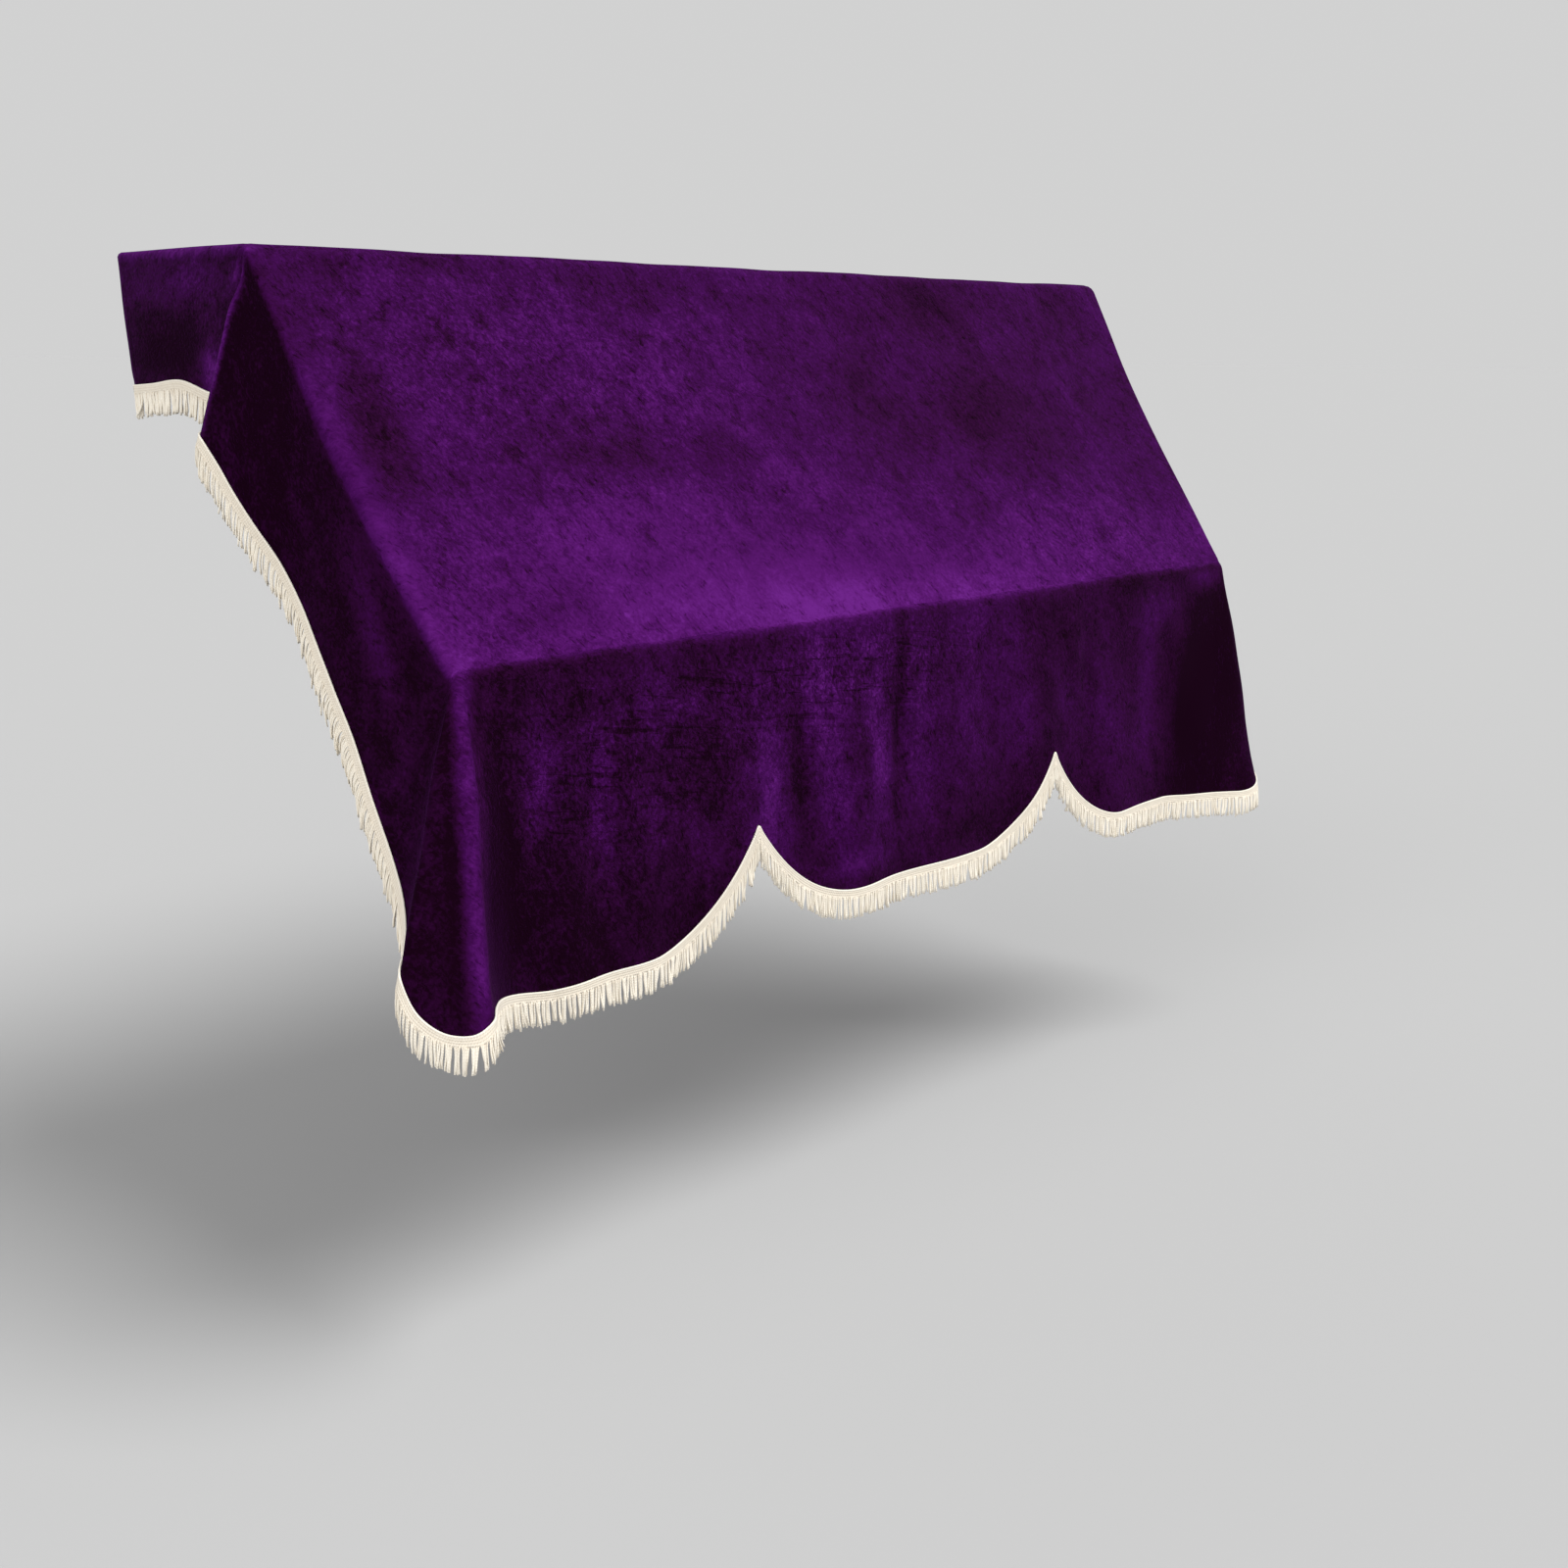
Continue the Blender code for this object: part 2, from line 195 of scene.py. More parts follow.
class Finish:
    """A material on one Principled shader, and the method that adds every other node to it."""

    def __init__(self, name, constants):
        self.material = bpy.data.materials.new(name)
        self.material.use_nodes = True
        self.tree = self.material.node_tree
        self.shader = self.tree.nodes["Principled BSDF"]
        for socket, value in constants.items():
            self.shader.inputs[socket].default_value = value

    def plug(self, socket, value):
        """Link a wire into a socket, or set the socket to a value."""
        if isinstance(value, Wire):
            self.tree.links.new(value.socket, socket)
        else:
            socket.default_value = value

    def node(self, kind, settings, inputs, output=0):
        """Add a node: its settings first, then its sockets. Gives one output as a wire."""
        made = self.tree.nodes.new(kind)
        for setting, value in settings.items():
            if setting == "stops":
                set_stops(made, value)
            else:
                setattr(made, setting, value)
        for socket, value in inputs.items():
            self.plug(made.inputs[socket], value)
        return Wire(self, made.outputs[output])

    def uv(self, name):
        """The piece's own uv map, in metres of cloth, as one vector wire."""
        return self.node("ShaderNodeUVMap", {"uv_map": name}, {})

    def parts(self, vector):
        """The x and y of a vector wire."""
        x = self.node("ShaderNodeSeparateXYZ", {}, {0: vector})
        return x, Wire(self, x.socket.node.outputs[1])

    def noise(self, vector, scale, detail, roughness, distortion=0.0):
        """Smooth noise from 0 to 1, with this many waves to the metre."""
        inputs = {"Vector": vector, "Scale": scale, "Detail": detail}
        inputs.update({"Roughness": roughness, "Distortion": distortion})
        return self.node("ShaderNodeTexNoise", {}, inputs)

    def streaks(self, vector, turn, waves, detail, roughness, distortion):
        """Noise on a vector that is turned by an angle and then stretched: waves to the metre."""
        point = {"vector_type": "POINT"}
        turned = self.node("ShaderNodeMapping", point, {"Vector": vector, "Rotation": (0, 0, turn)})
        stretched = self.node("ShaderNodeMapping", point, {"Vector": turned, "Scale": waves})
        return self.noise(stretched, 1.0, detail, roughness, distortion)

    def attribute(self, name):
        """A number that the mesh keeps for each of its points."""
        return self.node("ShaderNodeAttribute", {"attribute_name": name}, {}, output=2)

    def ramp(self, share, stops):
        """A colour read from the stops of a ramp."""
        return self.node("ShaderNodeValToRGB", {"stops": stops}, {0: share})

    def blend(self, share, first, second):
        """A colour that goes from the first to the second as the share goes from 0 to 1."""
        settings = {"data_type": "RGBA", "clamp_factor": True}
        # sockets 6 and 7 and output 2 are this node's colours
        return self.node("ShaderNodeMix", settings, {"Factor": share, 6: first, 7: second}, output=2)

    def bump(self, height, depth):
        """A shading normal from a height, where 1 stands for a depth in metres."""
        inputs = {"Strength": 1.0, "Distance": depth, "Height": height}
        return self.node("ShaderNodeBump", {}, inputs)

    def use(self, **wires):
        """Link wires to the shader. A name's underscores stand for the socket's spaces."""
        for name, wire in wires.items():
            self.plug(self.shader.inputs[name.replace("_", " ")], wire)


print("a finish has these methods:", ", ".join(name for name in vars(Finish) if name[0] != "_"))

# %% [markdown] ## The floor  The floor takes the plainest finish that there is: three constants
# and no other node. It lies where the piano would stand, 1.17 m below the lid. It has no gloss,
# so that it is equally pale from all sides.

# %% Floor
LID_HEIGHT = 1.169
FLOOR_HALF = 150.0
FLOOR_PAINT = {
    "Base Color": (0.4015, 0.4015, 0.4015, 1.0),
    "Roughness": 0.9,
    "Specular IOR Level": 0.0,
}


def add_floor():
    """A wide pale floor under the cover, where the piano would stand."""
    mesh = bpy.data.meshes.new("floor")
    corners = np.array([(-1, -1), (1, -1), (1, 1), (-1, 1)]) * FLOOR_HALF
    mesh.from_pydata([(x, y, -LID_HEIGHT) for x, y in corners], [], [(0, 1, 2, 3)])
    mesh.materials.append(Finish("pale_floor", FLOOR_PAINT).material)
    floor = bpy.data.objects.new("floor", mesh)
    bpy.context.scene.collection.objects.link(floor)


add_floor()
print("the floor lies", LID_HEIGHT, "m below the lid")

# %% [markdown]
# ## The lines of cloth
#
# Cloth bends easily but hardly stretches. So the drape is described by straight lines of cloth,
# each of which starts on the edge of a flat panel, turns over the edge and ends at the hem. Short
# tables say where the lines of the two sides end, because their folds were shaped one by one. The
# front needs only a formula.
#
# The sizes and tables below are those of the cover's construction, in metres. x runs along the
# piano, y towards the wall behind it, and z up from the lid.

# %% Sizes of the cover
LID_HALF = 0.7708
LID_DEPTH = 0.314
SHELF_HALF = 0.7282
SLOPE_RUN = 0.312
SLOPE_RISE = 0.441

SLOPE_LONG = math.hypot(SLOPE_RUN, SLOPE_RISE)
SHELF_AT = LID_DEPTH + SLOPE_LONG
DOWN_SLOPE = np.array([0, -SLOPE_RUN, -SLOPE_RISE]) / SLOPE_LONG
UNDER_SLOPE = np.array([0, SLOPE_RISE, -SLOPE_RUN]) / SLOPE_LONG
print("the slope is", round(SLOPE_LONG, 3), "m long")

# %% Scallops and folds of the front
PEAKS = (-0.313, 0.277)
PEAK_DROP = 0.232
SCALLOP_REACH = 0.170
# how far the front hangs ahead of the shelf
FRONT_STAND = 0.010
# how far the lines of the left and the right side reach along the front
FRONT_JOINS = (0.100, 0.160)
SCALLOPS = (
    # from x, to x, drop of its flat bottom
    (-0.80, -0.313, 0.360),
    (-0.313, 0.277, 0.346),
    (0.277, 0.80, 0.350),
)
FRONT_FOLDS = (
    # x, half width, stands out
    (-0.600, 0.050, 0.013),
    (-0.500, 0.045, 0.010),
    (-0.345, 0.060, 0.006),
    (-0.130, 0.050, 0.013),
    (0.060, 0.070, 0.007),
    (0.235, 0.050, 0.009),
    (0.430, 0.060, 0.010),
)
print(len(SCALLOPS), "scallops and", len(FRONT_FOLDS), "folds")

# %% Where the lines of the left side end
# Each row: place along the edge, then out from the piano's side, towards the player, and down.
LEFT_FLAP = (
    # from the lid's back corner
    (0.000, 0.006, 0.038, 0.156),
    (0.070, 0.009, 0.096, 0.153),
    (0.150, 0.008, 0.165, 0.148),
    (0.230, 0.006, 0.228, 0.160),
    (0.290, 0.005, 0.268, 0.163),
)
LEFT_PLEAT = (
    # from the lid's front corner
    (0.000, 0.004, -0.022, 0.163),
    (0.000, 0.004, -0.004, 0.165),
    (0.000, 0.012, 0.004, 0.168),
    (0.000, 0.021, -0.004, 0.175),
    (0.000, 0.028, -0.026, 0.188),
    (0.000, 0.034, -0.040, 0.197),
    (0.000, 0.042, -0.041, 0.203),
    (0.000, 0.045, -0.030, 0.211),
    (0.030, 0.037, -0.012, 0.239),
    (0.085, 0.030, 0.006, 0.268),
    (0.150, 0.020, 0.028, 0.301),
    (0.225, 0.006, 0.055, 0.341),
    (0.300, 0.000, 0.085, 0.384),
    (0.370, 0.000, 0.116, 0.428),
    (0.450, 0.001, 0.149, 0.473),
)
LEFT_CORNER = (
    # from the shelf's front corner
    (-0.012, 0.044, -0.128, 0.080),
    (-0.010, 0.050, -0.086, 0.136),
    (-0.010, 0.053, -0.045, 0.194),
    (-0.009, 0.060, -0.016, 0.233),
    (-0.007, 0.076, 0.010, 0.265),
    (-0.004, 0.098, 0.032, 0.291),
    (-0.002, 0.096, 0.052, 0.323),
    (0.001, 0.084, 0.082, 0.341),
    (0.004, 0.066, 0.110, 0.341),
    (0.008, 0.046, 0.112, 0.331),
    (0.012, 0.022, 0.083, 0.330),
    (0.026, -0.010, 0.048, 0.339),
    (0.055, -0.050, 0.022, 0.351),
)
print(len(LEFT_FLAP) + len(LEFT_PLEAT) + len(LEFT_CORNER), "rows on the left")

# %% Where the lines of the right side end
RIGHT_FLAP = (
    # from the lid's back corner
    (0.000, 0.008, 0.026, 0.160),
    (0.070, 0.012, 0.090, 0.156),
    (0.150, 0.008, 0.160, 0.155),
    (0.230, 0.006, 0.226, 0.160),
    (0.290, 0.005, 0.270, 0.164),
)
RIGHT_PLEAT = (
    # from the lid's front corner
    (0.000, 0.004, -0.024, 0.165),
    (0.000, 0.004, -0.008, 0.167),
    (0.000, 0.012, 0.000, 0.170),
    (0.000, 0.021, -0.008, 0.177),
    (0.000, 0.030, -0.028, 0.189),
    (0.000, 0.038, -0.044, 0.200),
    (0.000, 0.048, -0.046, 0.208),
    (0.000, 0.053, -0.034, 0.217),
    (0.030, 0.044, -0.010, 0.243),
    (0.085, 0.036, 0.010, 0.270),
    (0.150, 0.024, 0.032, 0.303),
    (0.225, 0.010, 0.060, 0.343),
    (0.300, 0.004, 0.088, 0.386),
    (0.370, 0.006, 0.118, 0.430),
    (0.450, 0.003, 0.150, 0.475),
)
RIGHT_CORNER = (
    # from the shelf's front corner
    (-0.012, 0.030, -0.126, 0.082),
    (-0.010, 0.030, -0.086, 0.138),
    (-0.010, 0.029, -0.046, 0.195),
    (-0.009, 0.030, -0.016, 0.234),
    (-0.007, 0.034, 0.006, 0.268),
    (-0.004, 0.042, 0.024, 0.298),
    (-0.002, 0.048, 0.042, 0.330),
    (0.001, 0.044, 0.054, 0.348),
    (0.004, 0.026, 0.059, 0.357),
    (0.008, 0.002, 0.055, 0.360),
    (0.012, -0.026, 0.047, 0.358),
    (0.026, -0.058, 0.036, 0.356),
    (0.090, -0.105, 0.022, 0.354),
)
print(len(RIGHT_FLAP) + len(RIGHT_PLEAT) + len(RIGHT_CORNER), "rows on the right")

# %% [markdown]
# A curve has to run smoothly through the rows of a table. A Catmull-Rom curve does: between two
# rows it is a cubic whose direction at each row is that from the row before it to the row after
# it. The turn over an edge is a parabola that touches both straight runs, which is close to how a
# soft sheet rounds a corner.


# %% Curves
def row_curve(rows, at):
    """Points of a Catmull-Rom curve through the rows, at fractional row numbers.

    Between the rows b and c, with a before them and d after them, a share t of the way is half of
    2 b + (c - a) t + (2 a - 5 b + 4 c - d) t^2 + (3 b - a - 3 c + d) t^3.
    """
    rows = np.asarray(rows, float)
    padded = np.vstack([2 * rows[0] - rows[1], rows, 2 * rows[-1] - rows[-2]])
    step = np.clip(at.astype(int), 0, len(rows) - 2)
    t = (at - step)[:, None]
    a, b, c, d = (padded[step + k] for k in range(4))
    squared = 2 * a - 5 * b + 4 * c - d
    cubed = 3 * b - a - 3 * c + d
    return 0.5 * (2 * b + (c - a) * t + squared * t**2 + cubed * t**3)


def rounded(past, bend):
    """How far a path round a corner has gone along its first and its second line.

    past is the distance past the corner. From -bend to bend, the way along the second line is
    (past + bend)^2 / (4 bend).
    """
    ease = np.clip(past + bend, 0, 2 * bend) ** 2 / (4 * bend)
    second = np.where(past > bend, past, ease)
    return past - second, second


def length(vectors):
    """The length of each vector of an array."""
    return np.linalg.norm(vectors, axis=-1)


def unit(vectors):
    """Each vector of an array, made one long."""
    return vectors / length(vectors)[..., None]


def smooth(value, low, high):
    """0 at low, 1 at high, and 3 s^2 - 2 s^3 at the share s between them, whichever is higher."""
    share = np.clip((value - low) / (high - low), 0, 1)
    return share * share * (3 - 2 * share)


print("at an edge's corner a path is", rounded(0.0, 1.0)[1], "of a bend down its second line")

# %% [markdown]
# The two flat panels are one strip in section: flat on the lid, a soft corner, then a slope that
# sags a little because only its upper and lower edges are held. Its sides come in towards the
# narrower shelf. Where nothing holds the cloth from below, along the slope's sides, it turns down
# in a slightly wider bend.

# %% Panels and their edges
# how far before an edge the cloth starts to turn, and how far past it the turn ends: at the
# lid's front, at the edges that hold it, and halfway down the slope's sides
LID_BEND = 0.012
HANG_BEND = 0.010
FREE_BEND = 0.012
SLOPE_SAG = 0.010


def panel_line(along):
    """The panels in section, by the distance from the back edge.

    Gives points with x left 0, the half width, and the share of the slope. The slope hangs below
    the straight line by sag * 4 s (1 - s), a parabola.
    """
    on_lid, on_slope = rounded(along - LID_DEPTH, LID_BEND)
    share = np.clip(on_slope / SLOPE_LONG, 0, 1)
    sag = SLOPE_SAG * 4 * share * (1 - share)
    points = np.outer(on_slope, DOWN_SLOPE) + np.outer(sag, UNDER_SLOPE)
    points[:, 1] -= LID_DEPTH / 2 + on_lid
    return points, LID_HALF + (SHELF_HALF - LID_HALF) * share, share


def edge_lines(place, side):
    """Where lines leave the panels: inner start, direction outwards and bend.

    place runs along the side from the lid's back corner, round the shelf's corner and on along
    the front. The bend of the slope's side widens by the same parabola as the sag.
    """
    before_corner = place < SHELF_AT - HANG_BEND
    start, half, share = panel_line(np.minimum(place, SHELF_AT - HANG_BEND))
    bend = HANG_BEND + (FREE_BEND - HANG_BEND) * 4 * share * (1 - share) * before_corner
    start[:, 0] = side * (half - bend - np.maximum(place - SHELF_AT - HANG_BEND, 0))
    turn = np.clip((place - SHELF_AT + HANG_BEND) / (2 * HANG_BEND), 0, 1) * math.pi / 2
    outward = np.outer(np.cos(turn), [side, 0, 0]) + np.outer(np.sin(turn), DOWN_SLOPE)
    return start, outward, bend


print("the slope sags to", panel_line(np.array([LID_DEPTH + SLOPE_LONG / 2]))[0].round(3)[0])


# %% Ends of the lines
def front_ends(x):
    """The ends of the front's lines: flat scallops that rise to the peaks, on soft folds.

    A scallop's drop is less by (drop - peak's drop) * (1 - distance from the peak / reach)^2.
    """
    inside = [x <= to_x for from_x, to_x, drop in SCALLOPS]
    flat = np.select(inside, [drop for from_x, to_x, drop in SCALLOPS])
    near_peak = np.min([abs(x - peak) for peak in PEAKS], axis=0)
    drop = flat - (flat - PEAK_DROP) * np.clip(1 - near_peak / SCALLOP_REACH, 0, 1) ** 2
    folds = sum(out * np.exp(-(((x - at) / wide) ** 2)) for at, wide, out in FRONT_FOLDS)
    ahead = -LID_DEPTH / 2 - SLOPE_RUN - FRONT_STAND - folds
    return np.stack([x, ahead, -SLOPE_RISE - drop], axis=1)


def side_rows(side, tables, join):
    """All rows of one side as (place, x, y, z) of the lines' ends.

    Two more rows lie on the front. The first is where the side's lines stop, and the second only
    gives the curve its direction there.
    """
    corners = (
        (0.0, (LID_HALF, LID_DEPTH / 2, 0.0)),
        (LID_DEPTH, (LID_HALF, -LID_DEPTH / 2, 0.0)),
        (SHELF_AT, (SHELF_HALF, -LID_DEPTH / 2 - SLOPE_RUN, -SLOPE_RISE)),
    )
    rows = [
        (start + place, side * (x + out), y - fore, z - drop)
        for (start, (x, y, z)), table in zip(corners, tables)
        for place, out, fore, drop in table
    ]
    for place in (join, 2 * join - tables[-1][-1][0]):
        rows.append((SHELF_AT + place, *front_ends(np.array([side * (SHELF_HALF - place)]))[0]))
    return np.array(rows)


LEFT_ROWS = side_rows(-1, (LEFT_FLAP, LEFT_PLEAT, LEFT_CORNER), FRONT_JOINS[0])
RIGHT_ROWS = side_rows(1, (RIGHT_FLAP, RIGHT_PLEAT, RIGHT_CORNER), FRONT_JOINS[1])
print("the lowest row hangs at", min(LEFT_ROWS[:, 3].min(), RIGHT_ROWS[:, 3].min()).round(3))

# %% [markdown]
# The rows of a table are close together in a pleat and far apart elsewhere, but a good mesh has
# even steps. So both sides are first read very finely, the longest step of their hems or edges is
# added up along the way, and the lines are then taken at equal steps of that sum. Both sides share
# them, so that each line on the left has a partner on the right and the panels between them are a
# plain grid.

# %% Evenly spaced lines
LINE_STEP = 0.0078
FINE_STEPS = 24
LID_CORNER_EXTRA = 1.6
LID_CORNER_WIDE = 0.016


def even_rows(left, right):
    """Fractional row numbers at which neither a hem nor an edge steps further than LINE_STEP.

    At the lid's front corner a bell curve stretches the edge's steps, so that more lines leave it.
    """
    at = np.arange((len(left) - 2) * FINE_STEPS + 1) / FINE_STEPS
    places = np.interp(at, np.arange(len(left)), left[:, 0])
    steps = [length(np.diff(row_curve(rows[:, 1:], at), axis=0)) for rows in (left, right)]
    near_lid_corner = np.exp(-(((places[1:] - LID_DEPTH) / LID_CORNER_WIDE) ** 2))
    steps.append(np.diff(places) * (1 + LID_CORNER_EXTRA * near_lid_corner))
    run = np.append(0, np.cumsum(np.max(steps, axis=0)))
    return np.interp(np.linspace(0, run[-1], round(run[-1] / LINE_STEP) + 1), run, at)


def front_places():
    """x of the front's own lines, evenly from join to peak to peak to join, without the joins."""
    stops = (FRONT_JOINS[0] - SHELF_HALF, *PEAKS, SHELF_HALF - FRONT_JOINS[1])
    runs = [
        np.linspace(first, last, round((last - first) / LINE_STEP), endpoint=False)
        for first, last in zip(stops, stops[1:])
    ]
    return np.concatenate(runs)[1:]


row_numbers = even_rows(LEFT_ROWS, RIGHT_ROWS)
print(len(row_numbers), "lines on each side,", len(front_places()), "on the front")

# %% [markdown]
# A pattern on cloth follows the cloth and not the room, so every point needs its place on the flat
# sheet before it was draped. On the sides a line's flat end is found from how far along the hem it
# is. Round the front corners the lines open like a fan, and the angle between two neighbours is
# the same flat or draped, so the angles are added up.

# %% Flat places of the lines
PLEAT_BACK = 0.03
PLEAT_AHEAD = 0.16
TURN_EXTRA = 0.25
LEAD_LIMIT = 0.9
SAME_PLACE = 1e-6


def side_lines(rows, at):
    """The lines of one side: place, end, and the plain end where they would hang with no pleat.

    The plain end runs straight from just behind the pleat to just ahead of it.
    """
    place = np.interp(at, np.arange(len(rows)), rows[:, 0])
    ends = row_curve(rows[:, 1:], at)
    pleated = (place > LID_DEPTH - PLEAT_BACK) & (place < LID_DEPTH + PLEAT_AHEAD)
    plain = ends.copy()
    plain[pleated] = np.linspace(ends[pleated][0], ends[pleated][-1], pleated.sum())
    return place, ends, plain


def flat_sides(side, start, bend, ends, place):
    """Flat start and end of each line of a side, in metres from the middle of the back edge.

    A line is as long flat as it hangs, with a quarter of its bend more for the turn. It leans by
    the angle whose sine is how far its end is ahead along the hem, divided by its length.
    """
    reach = length(ends - start) + bend * TURN_EXTRA
    corner = np.flatnonzero(place >= SHELF_AT + LEFT_CORNER[0][0] - SAME_PLACE)[0]
    hem = np.append(0, np.cumsum(length(np.diff(ends, axis=0))))
    hem *= place[corner] / hem[corner]
    lead = np.clip(hem - place, -LEAD_LIMIT * reach, LEAD_LIMIT * reach)
    angle = np.arcsin(lead / reach)
    down = unit(ends - start)
    opened = np.arccos(np.clip(np.sum(down[1:] * down[:-1], axis=1), -1, 1))
    fan = np.append(0, np.cumsum(opened[corner:]))
    angle[corner:] = angle[corner] + (math.pi / 2 - angle[corner]) * fan / fan[-1]
    begin = np.stack([abs(start[:, 0]), np.minimum(place, SHELF_AT)], axis=1)
    finish = begin + reach[:, None] * np.stack([np.cos(angle), np.sin(angle)], axis=1)
    return begin * (side, 1), finish * (side, 1)


place, ends, plain = side_lines(LEFT_ROWS, row_numbers)
print("the pleat moves the ends of the left lines by up to", length(ends - plain).max().round(3), "m")


# %% All lines together
def hang_lines():
    """Every line of cloth from the back left round to the back right, as a dictionary of arrays."""
    halves = []
    for side, rows in ((-1, LEFT_ROWS), (1, RIGHT_ROWS)):
        place, ends, plain = side_lines(rows, row_numbers)
        start, outward, bend = edge_lines(place, side)
        flat_start, flat_end = flat_sides(side, start, bend, ends, place)
        halves.append((start, outward, bend, ends, plain, flat_start, flat_end))
    x = front_places()
    start, outward, bend = edge_lines(SHELF_AT + SHELF_HALF - abs(x), 1)
    start[:, 0] = x
    ends = front_ends(x)
    flat_start = np.stack([x, np.full(len(x), SHELF_AT)], axis=1)
    flat_end = flat_start + np.outer(length(ends - start), [0, 1])
    front = (start, outward, bend, ends, ends, flat_start, flat_end)
    names = ("start", "outward", "bend", "end", "plain", "flat_start", "flat_end")
    left, right = halves
    return {
        name: np.concatenate([on_left, on_front, on_right[::-1]])
        for name, on_left, on_front, on_right in zip(names, left, front, right)
    }


lines = hang_lines()
longest = length(lines["end"] - lines["start"]).max()
print(len(lines["bend"]), "lines of cloth, the longest", round(longest, 3), "m")

# %% [markdown]
# A line is read at a share of its length. A pleat is closed at the hem and opens towards the
# panel's edge, so the upper part of each line aims at the plain end and the lower part at the real
# one. The cloth ends behind the lower edge of the braid, a little past the line's own end.

# %% Read the lines
# the share of a line over which a pleat opens, the braid's depth, and the least sine allowed below
PLEAT_OPENS = 0.32
BRAID_DEEP = 0.011
STEEPEST_HEM = 0.62


def along_lines(share, past=0.0):
    """One point on every line: a share of the way from its bend to its end, and a length past that.

    A negative share is a place within the bend, from -1 at the flat panel to 0 at its other end.
    """
    start, outward, bend = lines["start"], lines["outward"], lines["bend"]
    edge = start + bend[:, None] * outward
    opened = smooth(share, 0, PLEAT_OPENS)
    target = lines["plain"] + (lines["end"] - lines["plain"]) * opened
    reach = length(target - edge)
    gone = bend + share * np.where(share > 0, reach - bend, 2 * bend) + past
    first, second = rounded(gone, bend)
    return edge + first[:, None] * outward + (second / reach)[:, None] * (target - edge)


def braid_depth():
    """How far past its end each line reaches the cut edge.

    It is the braid's depth, divided by the sine of the angle between the line and the hem.
    """
    down = unit(lines["end"] - lines["start"])
    beyond = 2 * lines["end"][-1:] - lines["end"][-2:-1]
    ahead = unit(np.diff(lines["end"], axis=0, append=beyond))
    return BRAID_DEEP / np.clip(length(np.cross(ahead, down)), STEEPEST_HEM, 1)


print("the lowest line ends at", along_lines(1.0)[:, 2].min().round(3), "m")

# %% The hanging cloth
BEND_SHARES = (-1.0, -0.75, -0.5, -0.25)
HANG_ROWS = 38
BRAID_ROWS = 2

hang_shares = np.concatenate([BEND_SHARES, np.linspace(0, 1, HANG_ROWS)])
rows = [along_lines(share) for share in hang_shares]
rows += [along_lines(1.0, braid_depth() * (k + 1) / BRAID_ROWS) for k in range(BRAID_ROWS)]
skirt = np.stack(rows)
skirt_gone = np.append(0, np.cumsum(np.mean(length(np.diff(skirt, axis=0)), axis=1)))
skirt_gone /= skirt_gone[len(hang_shares) - 1]
flat_down = lines["flat_end"] - lines["flat_start"]
skirt_flat = lines["flat_start"] + skirt_gone[:, None, None] * flat_down
print("the hanging cloth is a grid of", skirt.shape[:2])


# %% Panels between the starts of the lines
def panel_grid(start, flat_start):
    """Points and flat places of the panels: straight across between partners left and right."""
    fresh = np.append(True, length(np.diff(start, axis=0)) > SAME_PLACE)
    start, flat_start = start[fresh], flat_start[fresh]
    shelf_line = np.flatnonzero(start[:, 2] < start[:, 2].min() + SAME_PLACE)
    first, last = shelf_line[0], shelf_line[-1]
    share = start[first : last + 1, 0]
    share = ((share - share[0]) / (share[-1] - share[0]))[None, :, None]
    return [
        grid[: first + 1, None] * (1 - share) + grid[last:][::-1][:, None] * share
        for grid in (start, flat_start)
    ]


panels, panels_flat = panel_grid(lines["start"], lines["flat_start"])
print("the panels are a grid of", panels.shape[:2])

# %% [markdown]
# ## Creases
#
# Draped velvet isn't smooth. It keeps faint creases from its folding, and it puckers where it is
# pulled to a corner. Noise alone doesn't know where this cloth is pulled, so each crease is a row
# of a table: a soft ridge or trough on the flat sheet, with a bell curve across it and a wider bell
# curve along it. The height of all of them is added up at each point, which then moves along the
# cloth's normal.


# %% Bell curves
def bells(flat, table):
    """The sum of a table's bell curves at flat places.

    Each is height * exp(-along^2 - across^2), where along and across are the distances from the
    row's place in the row's own turned directions, divided by its half length and half width.
    """
    u, v = flat[:, 0], flat[:, 1]
    total = np.zeros(len(flat))
    for at_u, at_v, degrees, long, wide, tall in table:
        c, s = math.cos(math.radians(degrees)), math.sin(math.radians(degrees))
        along = (c * (u - at_u) + s * (v - at_v)) / long
        across = (c * (v - at_v) - s * (u - at_u)) / wide
        total += tall * np.exp(-along * along - across * across)
    return total


one_bell = [(0.0, 0.0, 0, 2.0, 1.0, 1.0)]
print("a bell is down to", bells(np.array([[0.0, 1.0]]), one_bell).round(2)[0], "at its half width")

